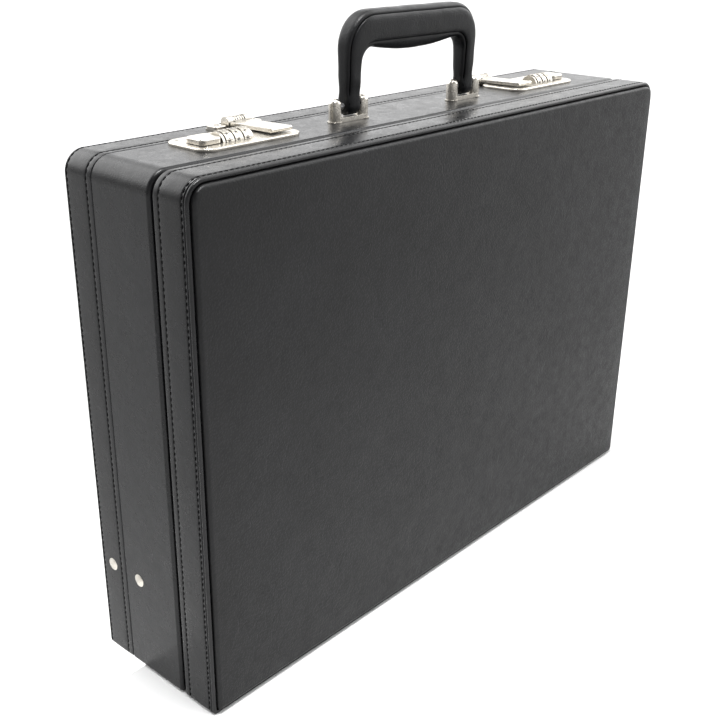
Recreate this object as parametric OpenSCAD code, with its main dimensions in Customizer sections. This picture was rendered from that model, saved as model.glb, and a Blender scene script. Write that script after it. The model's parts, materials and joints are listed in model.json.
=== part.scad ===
// Expandable leather attache case, standing on its hinge edge.
// X runs along the case, Y from the front (minus) to the lid (plus), Z up from the floor. Millimetres.

/* [Case] */
// Length of the case along X
case_width = 457; // [440:1:480]
// Height of the case, without locks and handle
case_height = 318; // [300:1:340]
// Radius of the two upper corners
corner_radius = 12.5; // [10:0.5:16]
// Depth of the expanding front section
expander_depth = 28.4; // [26:0.2:32]
// Depth of the middle section that carries handle and locks
base_depth = 48; // [48:0.5:52]
// Depth of the lid
lid_depth = 24.6; // [24:0.2:30]
// Gap between the expanding section and the middle section when pushed in
expansion_gap = 2.6; // [2:0.1:4]
// Thickness of the covered frame walls
wall = 5; // [5:0.1:5.4]

/* [Handle] */
// Outside width of the handle
handle_width = 125.5; // [118:0.5:135]
// Height of the handle's top above the case
handle_rise = 63.7; // [60:0.1:72]
// Width of each handle leg
leg_width = 10.5; // [9:0.1:11]
// Front to back thickness of the grip
grip_depth = 16; // [14:0.5:17]

/* [Locks] */
// Distance from the middle of the case to the near end of each lock plate
lock_near = 107.5; // [100:0.5:115]
// Radius of the number dials
dial_radius = 7.2; // [7:0.05:7.25]

/* [Inside] */
// Height of the document pocket in the lid
pocket_height = 211; // [150:1:230]

/* [Hidden] */
fine = 96;
small = 48;
over = 1;
foot_radius = 2.8;
parting_gap = 0.4;
soft_edge = 2.4;
crisp_edge = 0.5;

case_depth = expander_depth + expansion_gap + base_depth + parting_gap + lid_depth;
front = -case_depth / 2;
expander_back = front + expander_depth;
base_front = expander_back + expansion_gap;
base_back = base_front + base_depth;
lid_front = base_back + parting_gap;
back = case_depth / 2;
parting = base_back + parting_gap / 2;
inner_foot = 0.8;
half = case_width / 2;

// front panel, its piping and its band
panel_inset = 2.8;
panel_thick = 3.9;
piping_radius = 1.3;
piping_flange = 0.7;
band_front = front + panel_thick + piping_flange;
panel_lining = 1;

// lid panel in its rebate
rebate_inset = 4;
lid_panel_thick = 3.6;
lid_floor = back - 4;

// linings and sleeve, as distances in from the outside of the case
lining = 0.8;
sleeve_side = wall + lining + 0.4;
sleeve_top = wall + 3.7;
sleeve_wall = 1.5;
sleeve_back = base_front + 29.5;
rail_depth = 13;
rail_drop = wall + 3.3;
rail_turn = 4;

// expansion slides
slide_travel = 20;
slide_y = base_front + 5;
slide_heights = [95, 250];
stud_radius = 1.5;
slot_radius = 1.9;
slide_plate = 0.8;
stud_head = 4;

// piano hinge in the bottom edge
hinge_z = 2.1;
knuckle_radius = 1.8;
hinge_pin_radius = 0.8;
hinge_bore = 0.85;
hinge_length = 440;
knuckles = 24;
knuckle_gap = 0.35;
leaf_near = 2.7;
leaf_far = 13;
leaf_bottom = 0.3;
leaf_top = 1.2;
groove_half = 3;
hinge_screws = 9;
hinge_screw_pitch = 50;
hinge_screw_off = 8;

// lid stays: two equal links a side make a parallelogram with the hinge
stay_off = 12.9;
stay_z = 64.5;
elbow_z = 2 * stay_z - hinge_z;
link_half = 4.5;
strap_half = 3.6;
link_thick = 1.2;
lower_link = 6.5;
upper_link = 8;
rivet_radius = 2;
link_bore = 2.06;
open_bore = 2.5;
rivet_head = 4;
rivet_dome = 8.6;
rivet_proud = 1.1;
tail_head = 3.4;

// handle and its brackets
handle_y = base_front + 24.3;
leg_x = (handle_width - leg_width) / 2;
pivot_z = case_height + 9;
pivot_radius = 1.8;
pivot_bore = 1.88;
leg_round = 5.7;
post_pitch = 12;
post_radius = 3.9;
post_shoulder = 11.5;
post_dome = 4.12;
post_rise = 14.3;
saddle_half = 4;
saddle_clear = 6.1;
bracket_stud = 2;
bracket_plate = 1.4;
nut_thick = 1.4;
handle_corner = 22;
window_corner = 10;
grip_turn = 6;
handle_skin = 2.6;
flare_low = 24;
flare_high = 38;
window_rise = 42.5;
belly = 3.5;
belly_radius = 253.75;

// lock plate and what is in it (drawn for the lock on plus X, mirrored for the other)
plate_length = 74.5;
plate_width = 36;
plate_thick = 1.8;
plate_radius = 8.5;
plate_top = case_height + plate_thick;
plate_front = base_front + 11.5;
plate_back = plate_front + plate_width;
dial_y = base_front + 25.5;
dial_z = case_height + 0.3;
dial_width = 4.6;
dial_pitch = 6.6;
dial_x = lock_near + 44;
dial_axle = 2;
dial_bore = 2.06;
ridge_radius = 6.6;
ridge_length = 22;
window_radius = 7.6;
window_width = 5.3;
case_near = lock_near + 6;
case_far = lock_near + 66;
case_front_y = base_front + 16.4;
case_back_y = base_front + 44;
case_floor = case_height - 8.2;
sheet = 0.8;
tongue_x = lock_near + 14;
tongue_thick = 2;
channel_half = 2.8;
channel_front = base_front + 33.6;
channel_floor = case_height - 6.5;
screw_x = [lock_near + 3.7, lock_near + 68.5];
screw_y = [plate_front + 4, plate_front + 31];
lock_screw_head = 1.8;
lock_screw_shank = 1;
button_x = lock_near + 62.6;
button_y = base_front + 19;
button_length = 14.5;
button_width = 15;
button_rise = 5.5;
button_lift = 2.2;
stem_x = lock_near + 58.5;
slide_z = case_height - 2.4;
slide_thick = 1.6;
button_travel = 3;

// hasp and its strike on the lid
hasp_y = lid_front + 6.6;
hasp_z = case_height + 3.7;
hasp_half = 8;
hasp_knuckle = 3.2;
hasp_core = 2.8;
hasp_middle = 4.2;
strike_knuckle = 3.5;
hasp_pin_radius = 1.2;
hasp_bore = 1.26;
hasp_tip = base_front + 16;
strike_front = lid_front + 2.1;
strike_back = lid_front + 12.6;
strike_half = 18;
ear_rise = 3;

// pocket set in the lid
pocket_half = 200;
pocket_sheet = 1.2;
pocket_front = lid_floor - 7.8;
pocket_bottom = 14;
loop_radius = 5.2;
loop_sheet = 1;
loop_height = 24;

leather = [0.13, 0.13, 0.14];
hide = [0.1, 0.1, 0.11];
cloth = [0.2, 0.19, 0.18];
nickel = [0.82, 0.8, 0.75];
steel = [0.7, 0.7, 0.7];
plastic = [0.25, 0.25, 0.25];

// ---- helpers ----

// Stands a flat drawing on edge: its Y becomes Z, and its thickness runs forward from y_back.
module upright(y_back)
{
    translate([0, y_back, 0])
        rotate([90, 0, 0])
            children();
}

// Extrudes a drawing made in Y and Z along X, from x_start.
module across(x_start, length)
{
    translate([x_start, 0, 0])
        rotate([90, 0, 90])
            linear_extrude(length)
                children();
}

// The same thing at both ends of the case.
module both_ends()
{
    children();
    mirror([1, 0, 0])
        children();
}

// Half-section of a board from its corner's axis out to r, with its two outer edges rounded.
module board_section(r, t, e_back, e_front)
{
    intersection() {
        square([r, t]);
        union() {
            translate([0, e_back])
                square([r, t - e_back - e_front]);
            square([r - max(e_back, e_front), t]);
            if (e_back > 0)
                translate([r - e_back, e_back])
                    circle(e_back, $fn = small);
            if (e_front > 0)
                translate([r - e_front, t - e_front])
                    circle(e_front, $fn = small);
        }
    }
}

// A board lying flat, X centred and Y from 0, with rounded corners and rounded edges.
module board(w, h, t, r_top, r_bot, e_back, e_front)
{
    for (s = [0, 1])
        mirror([s, 0, 0]) {
            translate([w / 2 - r_top, h - r_top, 0])
                rotate_extrude(angle = 90, $fn = fine)
                    board_section(r_top, t, e_back, e_front);
            translate([w / 2 - r_bot, r_bot, 0])
                rotate_extrude(angle = 90, start = 270, $fn = fine)
                    board_section(r_bot, t, e_back, e_front);
            translate([w / 2 - r_bot, h - r_top, 0])
                rotate([90, 0, 0])
                    linear_extrude(h - r_top - r_bot)
                        board_section(r_bot, t, e_back, e_front);
        }
    translate([r_top - w / 2, h - r_top, 0])
        rotate([90, 0, 90])
            linear_extrude(w - 2 * r_top)
                board_section(r_top, t, e_back, e_front);
    translate([r_bot - w / 2, r_bot, 0])
        mirror([0, 1, 0])
            rotate([90, 0, 90])
                linear_extrude(w - 2 * r_bot)
                    board_section(r_bot, t, e_back, e_front);
    translate([r_bot - w / 2, r_bot, 0])
        cube([w - 2 * r_bot, h - r_top - r_bot, t]);
}

// Outline of the case, moved in by side, top and bottom.
module outline(side, top, bottom, r_top, r_bot)
{
    w = case_width - 2 * side;
    h = case_height - top - bottom;
    translate([0, bottom]) {
        for (s = [-1, 1]) {
            translate([s * (w / 2 - r_top), h - r_top])
                circle(r_top, $fn = fine);
            translate([s * (w / 2 - r_bot), r_bot])
                circle(r_bot, $fn = fine);
        }
        translate([-w / 2, r_bot])
            square([w, h - r_top - r_bot]);
        translate([r_top - w / 2, r_bot])
            square([w - 2 * r_top, h - r_bot]);
        translate([r_bot - w / 2, 0])
            square([w - 2 * r_bot, h / 2]);
    }
}

// The hollow of a frame between y_start and y_end.
module hollow(y_start, y_end, side, top, r_top, r_bot)
{
    upright(y_end)
        linear_extrude(y_end - y_start)
            outline(side, top, side, r_top, r_bot);
}

// A thin ring between two outlines.
module ring(y_start, y_end, side, top, thick, r_top, r_bot)
{
    difference() {
        hollow(y_start, y_end, side, top, r_top, r_bot);
        hollow(y_start - over, y_end + over, side + thick, top + thick,
            max(r_top - thick, 0.4), 0.4);
    }
}

// A box given by its two far corners.
module block(low, high)
{
    translate(low)
        cube(high - low);
}

// A disc or rod along X on the plus X side: from in_start to in_end measured in from the end wall.
module rod_in(y, z, r, in_start, in_end)
{
    translate([half - in_end, y, z])
        rotate([0, 90, 0])
            cylinder(r = r, h = in_end - in_start, $fn = small);
}

// Upright rods at given places.
module posts(places, r, z_low, z_high)
{
    for (p = places)
        translate([p[0], p[1], z_low])
            cylinder(r = r, h = z_high - z_low, $fn = small);
}

function hinge_screw_places(y) =
    [for (i = [0 : hinge_screws - 1]) [(i - (hinge_screws - 1) / 2) * hinge_screw_pitch, y]];
function lock_screw_places() = [for (x = screw_x) for (y = screw_y) [x, y]];
function bracket_places() =
    [for (s = [-1, 1]) for (t = [-1, 1]) [s * leg_x + t * post_pitch, handle_y]];
function strike_screw_places() =
    [for (s = [-1, 1]) [tongue_x + s * (strike_half - 4), strike_back - 5]];
function mirrored(places) = [for (p = places) [-p[0], p[1]]];

// Room for the hinge barrel and a recess for its leaf, on one side of the parting.
module hinge_room(side)
{
    far = parting + side * (leaf_far + 0.2);
    near = parting + side * groove_half;
    reach = hinge_length / 2 + 0.3;
    block([-reach, min(parting, near), -over], [reach, max(parting, near), wall + 0.01]);
    block([-reach, min(far, near) - 0.01, -over], [reach, max(far, near) + 0.01, leaf_top]);
    across(-half - over, case_width + 2 * over)
        polygon([[parting, hinge_z + 0.25], [parting + side * 4.3, -over], [parting, -over]]);
}

// ---- middle section ----

module lock_room()
{
    block([case_near, case_front_y, case_floor], [case_far, case_back_y, case_height + over]);
    block([tongue_x - channel_half, channel_front, channel_floor],
        [tongue_x + channel_half, base_back + over, case_height + over]);
}

module backing_room()
{
    block([leg_x - 18, handle_y - 6.5, case_height - wall - bracket_plate],
        [leg_x + 18, handle_y + 6.5, case_height - wall]);
}

module base_frame()
{
    color(leather)
        difference() {
            upright(base_back)
                board(case_width, case_height, base_depth, corner_radius, foot_radius,
                    crisp_edge, soft_edge);
            hollow(base_front - over, base_front + rail_depth, wall, rail_drop, rail_turn, inner_foot);
            hollow(base_front + rail_depth - 0.01, base_back + over, wall, wall,
                corner_radius - wall, inner_foot);
            hinge_room(-1);
            both_ends()
                lock_room();
            posts(bracket_places(), bracket_stud, case_height - wall - over, case_height + over);
            posts(lock_screw_places(), lock_screw_shank, case_height - 4, case_height + over);
            posts(mirrored(lock_screw_places()), lock_screw_shank, case_height - 4,
                case_height + over);
            posts(hinge_screw_places(parting - hinge_screw_off), 1.1, 0, 4);
            both_ends() {
                rod_in(parting - stay_off, stay_z, rivet_radius, -over, wall + over);
                for (z = slide_heights)
                    rod_in(slide_y, z, stud_radius, wall - 2, wall + over);
            }
        }
}

module base_lining()
{
    color(cloth)
        difference() {
            ring(base_front + over, base_back, wall, wall, lining, corner_radius - wall,
                inner_foot);
            block([-half, base_front, case_height - rail_drop - rail_turn],
                [half, base_front + rail_depth, case_height]);
            both_ends() {
                lock_room();
                backing_room();
                rod_in(parting - stay_off, stay_z, rivet_radius, wall - over, wall + 2);
                for (z = slide_heights)
                    rod_in(slide_y, z, stud_radius, wall - over, wall + 2);
            }
        }
}

module slide_studs()
{
    color(nickel)
        both_ends()
            for (z = slide_heights) {
                rod_in(slide_y, z, stud_radius, wall - 2, sleeve_side + sleeve_wall + 1.3);
                rod_in(slide_y, z, stud_head, sleeve_side + sleeve_wall + 1.2,
                    sleeve_side + sleeve_wall + 2.4);
            }
}

// ---- expanding front section ----

module expander_frame()
{
    color(leather)
        difference() {
            upright(expander_back)
                board(case_width, case_height, expander_back - band_front, corner_radius,
                    foot_radius, 1.2, 0.8);
            hollow(band_front - over, expander_back + over, wall, wall, corner_radius - wall,
                inner_foot);
        }
}

module expander_piping()
{
    centre = front + panel_thick + piping_flange - piping_radius;
    top_turn = corner_radius - piping_radius;
    foot_turn = foot_radius - piping_radius;
    color(hide)
        union() {
            upright(centre)
                for (s = [0, 1])
                    mirror([s, 0, 0]) {
                        translate([half - corner_radius, case_height - corner_radius, 0])
                            rotate_extrude(angle = 90, $fn = fine)
                                translate([top_turn, 0])
                                    circle(piping_radius, $fn = small);
                        translate([half - foot_radius, foot_radius, 0])
                            rotate_extrude(angle = 90, start = 270, $fn = fine)
                                translate([foot_turn, 0])
                                    circle(piping_radius, $fn = small);
                        translate([half - piping_radius, case_height - corner_radius, 0])
                            rotate([90, 0, 0])
                                cylinder(r = piping_radius,
                                    h = case_height - corner_radius - foot_radius, $fn = small);
                        translate([0, case_height - piping_radius, 0])
                            rotate([0, 90, 0])
                                cylinder(r = piping_radius, h = half - corner_radius,
                                    $fn = small);
                        translate([0, piping_radius, 0])
                            rotate([0, 90, 0])
                                cylinder(r = piping_radius, h = half - foot_radius, $fn = small);
                    }
            difference() {
                hollow(band_front - piping_flange, band_front, piping_radius, piping_radius,
                    corner_radius - piping_radius, foot_radius - piping_radius);
                hollow(band_front - piping_flange - over, band_front + over, wall, wall,
                    corner_radius - wall, inner_foot);
            }
        }
}

module expander_panel()
{
    color(hide)
        upright(front + panel_thick)
            translate([0, panel_inset, 0])
                board(case_width - 2 * panel_inset, case_height - 2 * panel_inset, panel_thick,
                    corner_radius - panel_inset, 1.8, 0, 1.5);
}

module expander_sleeve()
{
    color(cloth)
        difference() {
            union() {
                hollow(band_front + panel_lining, expander_back - 0.4, wall, wall,
                    corner_radius - wall, inner_foot);
                hollow(band_front + panel_lining, sleeve_back, sleeve_side, sleeve_top, 5,
                    inner_foot);
            }
            hollow(front, sleeve_back + over, sleeve_side + sleeve_wall,
                sleeve_top + sleeve_wall, 3.5, 0.4);
            both_ends()
                for (z = slide_heights)
                    slide_slot(z, sleeve_side - 2, sleeve_side + sleeve_wall + 2);
        }
}

// A long hole for one stud, from its pushed-in place to its pulled-out place.
module slide_slot(z, in_start, in_end)
{
    rod_in(slide_y, z, slot_radius, in_start, in_end);
    rod_in(slide_y + slide_travel, z, slot_radius, in_start, in_end);
    block([half - in_end, slide_y, z - slot_radius],
        [half - in_start, slide_y + slide_travel, z + slot_radius]);
}

module slide_plates()
{
    inner = sleeve_side + sleeve_wall;
    color(steel)
        both_ends()
            for (z = slide_heights)
                difference() {
                    union() {
                        rod_in(slide_y, z, 5, inner, inner + slide_plate);
                        rod_in(slide_y + slide_travel - 1, z, 5, inner, inner + slide_plate);
                        block([half - inner - slide_plate, slide_y, z - 5],
                            [half - inner, slide_y + slide_travel - 1, z + 5]);
                    }
                    slide_slot(z, inner - 1, inner + slide_plate + 1);
                }
}

module expander_lining()
{
    color(cloth)
        hollow(front + panel_thick, band_front + panel_lining, wall, wall, corner_radius - wall,
            inner_foot);
}

// ---- lid ----

module lid_frame()
{
    color(leather)
        difference() {
            upright(back)
                board(case_width, case_height, lid_depth, corner_radius, foot_radius, 1.8,
                    crisp_edge);
            hollow(lid_front - over, lid_floor + 0.01, wall, wall, corner_radius - wall,
                inner_foot);
            hollow(lid_floor, back + over, rebate_inset, rebate_inset,
                corner_radius - rebate_inset, 1.8);
            hinge_room(1);
            posts(hinge_screw_places(parting + hinge_screw_off), 1.1, 0, 4);
            posts(strike_screw_places(), lock_screw_shank, case_height - 4, case_height + over);
            posts(mirrored(strike_screw_places()), lock_screw_shank, case_height - 4,
                case_height + over);
            both_ends()
                rod_in(parting + stay_off, stay_z, rivet_radius, -over, wall + over);
        }
}

module lid_panel()
{
    color(hide)
        upright(lid_floor + lid_panel_thick)
            translate([0, rebate_inset, 0])
                board(case_width - 2 * rebate_inset, case_height - 2 * rebate_inset,
                    lid_panel_thick, corner_radius - rebate_inset, 1.8, 1.5, 0);
}

module lid_lining()
{
    color(cloth)
        union() {
            difference() {
                ring(lid_front, lid_floor - lining, wall, wall, lining, corner_radius - wall,
                    inner_foot);
                both_ends()
                    rod_in(parting + stay_off, stay_z, rivet_radius, wall - over, wall + 2);
            }
            hollow(lid_floor - lining, lid_floor, wall, wall, corner_radius - wall, inner_foot);
        }
}

module lid_pocket()
{
    deep = lid_floor - lining;
    color(leather)
        difference() {
            block([-pocket_half, pocket_front, pocket_bottom],
                [pocket_half, deep, pocket_bottom + pocket_height]);
            block([pocket_sheet - pocket_half, pocket_front + pocket_sheet,
                pocket_bottom + pocket_sheet],
                [pocket_half - pocket_sheet, deep + over, pocket_bottom + pocket_height + over]);
        }
}

module card_pockets()
{
    color(leather)
        for (x = [-165, -55])
            block([x, pocket_front - 1, pocket_bottom + 80],
                [x + 95, pocket_front, pocket_bottom + 145]);
}

module pen_loops()
{
    color(leather)
        for (x = [85, 105])
            translate([x, pocket_front, pocket_bottom + 110])
                difference() {
                    cylinder(r = loop_radius + loop_sheet, h = loop_height, $fn = small);
                    translate([0, 0, -over])
                        cylinder(r = loop_radius, h = loop_height + 2 * over, $fn = small);
                    block([-10, 0, -over], [10, 10, loop_height + over]);
                }
}

// ---- piano hinge ----

// One leaf with every second knuckle; side is minus one for the middle section, one for the lid.
module hinge_leaf(side)
{
    pitch = hinge_length / knuckles;
    first = side < 0 ? 0 : 1;
    near = parting + side * leaf_near;
    far = parting + side * leaf_far;
    difference() {
        union() {
            block([-hinge_length / 2, min(near, far), leaf_bottom],
                [hinge_length / 2, max(near, far), leaf_top]);
            for (i = [first : 2 : knuckles - 1]) {
                x = -hinge_length / 2 + i * pitch;
                across(x + knuckle_gap / 2, pitch - knuckle_gap)
                    union() {
                        translate([parting, hinge_z])
                            circle(knuckle_radius, $fn = small);
                        translate([min(parting, near), leaf_bottom])
                            square([leaf_near, leaf_top - leaf_bottom]);
                    }
            }
        }
        across(-half, case_width)
            translate([parting, hinge_z])
                circle(hinge_bore, $fn = small);
        posts(hinge_screw_places(parting + side * hinge_screw_off), 1.1, -over, leaf_top + over);
    }
}

module hinge_leaf_base()
{
    color(steel)
        hinge_leaf(-1);
}

module hinge_leaf_lid()
{
    color(steel)
        hinge_leaf(1);
}

module hinge_pin()
{
    color(steel)
        across(-hinge_length / 2, hinge_length)
            translate([parting, hinge_z])
                circle(hinge_pin_radius, $fn = small);
}

module hinge_screw_set(y)
{
    posts(hinge_screw_places(y), 2.2, 0, leaf_bottom);
    posts(hinge_screw_places(y), 1.1, 0, 4);
}

module hinge_screws_base()
{
    color(steel)
        hinge_screw_set(parting - hinge_screw_off);
}

module hinge_screws_lid()
{
    color(steel)
        hinge_screw_set(parting + hinge_screw_off);
}

// ---- lid stays ----

// A flat link between two pivots, its eyes a little wider than the strap.
module link(low, high, bore_low, bore_high, in_start)
{
    run = high - low;
    across(half - in_start - link_thick, link_thick)
        difference() {
            union() {
                translate(low)
                    circle(link_half, $fn = small);
                translate(high)
                    circle(link_half, $fn = small);
                translate(low)
                    rotate(atan2(run[1], run[0]))
                        translate([0, -strap_half])
                            square([norm(run), 2 * strap_half]);
            }
            translate(low)
                circle(bore_low, $fn = small);
            translate(high)
                circle(bore_high, $fn = small);
        }
}

module stay_lower_right()
{
    color(nickel)
        link([parting - stay_off, stay_z], [parting, elbow_z], link_bore, rivet_radius,
            lower_link);
}

module stay_lower_left()
{
    mirror([1, 0, 0])
        stay_lower_right();
}

module stay_upper_right()
{
    color(nickel)
        link([parting + stay_off, stay_z], [parting, elbow_z], link_bore, open_bore, upper_link);
}

module stay_upper_left()
{
    mirror([1, 0, 0])
        stay_upper_right();
}

module stay_elbow_right()
{
    color(nickel)
        union() {
            rod_in(parting, elbow_z, tail_head, lower_link - 0.3, lower_link);
            rod_in(parting, elbow_z, rivet_radius, lower_link - 0.3, upper_link + 1.6);
            rod_in(parting, elbow_z, tail_head, upper_link + 1.5, upper_link + 2.3);
        }
}

module stay_elbow_left()
{
    mirror([1, 0, 0])
        stay_elbow_right();
}

// A rivet through one end wall: round head outside, washer, room for the link, tail head.
module stay_rivet(y, link_start)
{
    rod_in(y, stay_z, rivet_radius, 0, link_start + link_thick + 0.4);
    rod_in(y, stay_z, rivet_head, wall + lining, link_start - 0.3);
    rod_in(y, stay_z, tail_head, link_start + link_thick + 0.3, link_start + link_thick + 1.1);
    translate([half, y, stay_z])
        rotate([0, 90, 0])
            rotate_extrude($fn = small)
                intersection() {
                    translate([0, rivet_proud - rivet_dome])
                        circle(rivet_dome, $fn = fine);
                    square([rivet_head, 2]);
                }
}

module stay_rivets_base()
{
    color(nickel)
        both_ends()
            stay_rivet(parting - stay_off, lower_link);
}

module stay_rivets_lid()
{
    color(nickel)
        both_ends()
            stay_rivet(parting + stay_off, upper_link);
}

// ---- handle ----

// Front view of the handle, every side moved in by inset.
module handle_front(inset)
{
    w = handle_width / 2 - inset;
    top = case_height + handle_rise - inset;
    r = handle_corner - inset;
    inner = handle_width / 2 - leg_width + inset;
    under = case_height + window_rise + inset;
    q = window_corner + inset;
    difference() {
        union() {
            for (s = [-1, 1])
                translate([s * (w - r), top - r])
                    circle(r, $fn = fine);
            translate([r - w, case_height])
                square([2 * (w - r), handle_rise - inset]);
            translate([-w, case_height])
                square([2 * w, handle_rise - inset - r]);
        }
        difference() {
            union() {
                for (s = [-1, 1])
                    translate([s * (inner - q), under - q])
                        circle(q, $fn = fine);
                translate([q - inner, case_height - over])
                    square([2 * (inner - q), window_rise + inset + over]);
                translate([-inner, case_height - over])
                    square([2 * inner, window_rise + inset - q + over]);
            }
            translate([0, case_height + window_rise - belly + belly_radius])
                circle(belly_radius - inset, $fn = 360);
        }
    }
}

// Side view of the handle: rounded foot at the pivot, slim leg, thick grip.
module handle_side(inset)
{
    leg = leg_round - inset;
    deep = grip_depth / 2 - inset;
    top = case_height + handle_rise - inset;
    turn = grip_turn - inset;
    translate([handle_y, 0])
        union() {
            translate([0, pivot_z])
                circle(leg, $fn = small);
            for (s = [-1, 1])
                translate([s * (deep - turn), top - turn])
                    circle(turn, $fn = small);
            polygon([[leg, pivot_z], [leg, pivot_z + flare_low], [deep, pivot_z + flare_high],
                [deep, top - turn], [deep - turn, top], [turn - deep, top], [-deep, top - turn],
                [-deep, pivot_z + flare_high], [-leg, pivot_z + flare_low], [-leg, pivot_z]]);
        }
}

module handle_form(inset)
{
    intersection() {
        upright(handle_y + 20)
            linear_extrude(40)
                handle_front(inset);
        across(-handle_width, 2 * handle_width)
            handle_side(inset);
    }
}

module handle_bores()
{
    for (s = [-1, 1])
        across(s * leg_x - leg_width, 2 * leg_width)
            translate([handle_y, pivot_z])
                circle(pivot_bore, $fn = small);
}

module handle_cover()
{
    color(hide)
        difference() {
            handle_form(0);
            handle_form(handle_skin);
            handle_bores();
        }
}

module handle_core()
{
    color(plastic)
        difference() {
            handle_form(handle_skin);
            handle_bores();
        }
}

// Two domed posts on a low saddle, with studs that go down through the frame.
module handle_bracket()
{
    difference() {
        union() {
            for (s = [-1, 1])
                translate([leg_x + s * post_pitch, handle_y, 0]) {
                    translate([0, 0, case_height])
                        cylinder(r = post_radius, h = post_shoulder, $fn = small);
                    intersection() {
                        translate([0, 0, case_height + post_rise - post_dome])
                            sphere(post_dome, $fn = small);
                        translate([0, 0, case_height + post_shoulder - 0.5])
                            cylinder(r = post_radius, h = 5, $fn = small);
                    }
                    translate([0, 0, case_height])
                        cylinder(r = post_radius + 0.7, h = 0.8, $fn = small);
                    translate([0, 0, case_height - wall - bracket_plate - nut_thick])
                        cylinder(r = bracket_stud, h = wall + bracket_plate + nut_thick + 1,
                            $fn = small);
                }
            block([leg_x - post_pitch, handle_y - saddle_half, case_height],
                [leg_x + post_pitch, handle_y + saddle_half, pivot_z - saddle_clear]);
        }
        across(leg_x - 14.6, 29.2)
            translate([handle_y, pivot_z])
                circle(pivot_radius, $fn = small);
    }
}

module handle_bracket_right()
{
    color(nickel)
        handle_bracket();
}

module handle_bracket_left()
{
    color(nickel)
        mirror([1, 0, 0])
            handle_bracket();
}

module handle_pins()
{
    color(steel)
        both_ends()
            across(leg_x - 14.6, 29.2)
                translate([handle_y, pivot_z])
                    circle(pivot_radius, $fn = small);
}

module bracket_plates()
{
    color(steel)
        difference() {
            both_ends()
                backing_room();
            posts(bracket_places(), bracket_stud, case_height - wall - 5, case_height);
        }
}

module bracket_nuts()
{
    low = case_height - wall - bracket_plate - nut_thick;
    color(steel)
        difference() {
            for (p = bracket_places())
                translate([p[0], p[1], low])
                    cylinder(r = 3.6, h = nut_thick, $fn = 6);
            posts(bracket_places(), bracket_stud, low - over, low + nut_thick + over);
        }
}

// ---- locks, drawn on plus X ----

module lock_plate()
{
    difference() {
        union() {
            translate([lock_near + plate_length / 2, plate_front, case_height])
                board(plate_length, plate_width, plate_thick, plate_radius, plate_radius, 0, 0.9);
            intersection() {
                across(dial_x - ridge_length / 2, ridge_length)
                    translate([dial_y, dial_z])
                        circle(ridge_radius, $fn = fine);
                block([0, base_front, case_height - 4.5], [half, base_back, case_height + 20]);
            }
        }
        for (i = [-1, 0, 1])
            across(dial_x + i * dial_pitch - window_width / 2, window_width)
                translate([dial_y, dial_z])
                    circle(window_radius, $fn = fine);
        across(dial_x - ridge_length / 2 - over, ridge_length + 2 * over)
            translate([dial_y, dial_z])
                circle(dial_axle, $fn = small);
        block([stem_x - 1.8, button_y + 4.7, case_height - over],
            [stem_x + 1.8 + button_travel, button_y + 10.3, plate_top + over]);
        block([tongue_x - channel_half, channel_front, case_height - over],
            [tongue_x + channel_half, plate_back + over, plate_top + over]);
        posts(lock_screw_places(), lock_screw_shank, case_height - over, plate_top);
        posts(lock_screw_places(), lock_screw_head, plate_top - 0.6, plate_top + over);
    }
}

module lock_plate_right()
{
    color(nickel)
        lock_plate();
}

module lock_plate_left()
{
    color(nickel)
        mirror([1, 0, 0])
            lock_plate();
}

// Open-topped sheet box under the plate, notched for the hasp's tongue.
module lock_case()
{
    difference() {
        block([case_near, case_front_y, case_floor], [case_far, case_back_y, case_height]);
        block([case_near + sheet, case_front_y + sheet, case_floor + sheet],
            [case_far - sheet, case_back_y - sheet, case_height + over]);
        block([tongue_x - channel_half, case_back_y - 2, channel_floor],
            [tongue_x + channel_half, case_back_y + over, case_height + over]);
    }
}

module lock_case_right()
{
    color(steel)
        lock_case();
}

module lock_case_left()
{
    color(steel)
        mirror([1, 0, 0])
            lock_case();
}

module lock_screws()
{
    color(nickel)
        both_ends() {
            posts(lock_screw_places(), lock_screw_shank, case_height - 4, plate_top - 0.6);
            posts(lock_screw_places(), lock_screw_head, plate_top - 0.6, plate_top);
        }
}

module lock_button()
{
    union() {
        translate([button_x, button_y, case_height + button_lift])
            board(button_length, button_width, button_rise - button_lift, 3, 3, 0, 1.2);
        block([stem_x - 1.5, button_y + 5, slide_z + slide_thick],
            [stem_x + 1.5, button_y + 10, case_height + button_lift + 0.5]);
    }
}

module lock_button_right()
{
    color(nickel)
        lock_button();
}

module lock_button_left()
{
    color(nickel)
        mirror([1, 0, 0])
            lock_button();
}

// Flat strip that the button drags: past the dials to a nose beside the hasp's tongue.
module lock_slide()
{
    union() {
        block([stem_x - 2.4, button_y + 4, slide_z],
            [stem_x + 2.6, base_front + 41, slide_z + slide_thick]);
        block([tongue_x + 4.6, base_front + 35, slide_z],
            [stem_x + 2.6, base_front + 41, slide_z + slide_thick]);
        block([tongue_x + 1.4, base_front + 37, slide_z],
            [tongue_x + 4.7, base_front + 39, slide_z + slide_thick]);
    }
}

module lock_slide_right()
{
    color(steel)
        lock_slide();
}

module lock_slide_left()
{
    color(steel)
        mirror([1, 0, 0])
            lock_slide();
}

// Number dial with ten thumb notches.
module dial(x)
{
    color(nickel)
        across(x - dial_width / 2, dial_width)
            translate([dial_y, dial_z])
                difference() {
                    circle(dial_radius, $fn = fine);
                    circle(dial_bore, $fn = small);
                    for (i = [0 : 9])
                        rotate(36 * i + 18)
                            translate([dial_radius + 0.15, 0])
                                circle(0.5, $fn = 16);
                }
}

module dial_right_inner()
{
    dial(dial_x - dial_pitch);
}

module dial_right_middle()
{
    dial(dial_x);
}

module dial_right_outer()
{
    dial(dial_x + dial_pitch);
}

module dial_left_inner()
{
    dial(dial_pitch - dial_x);
}

module dial_left_middle()
{
    dial(-dial_x);
}

module dial_left_outer()
{
    dial(-dial_x - dial_pitch);
}

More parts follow.
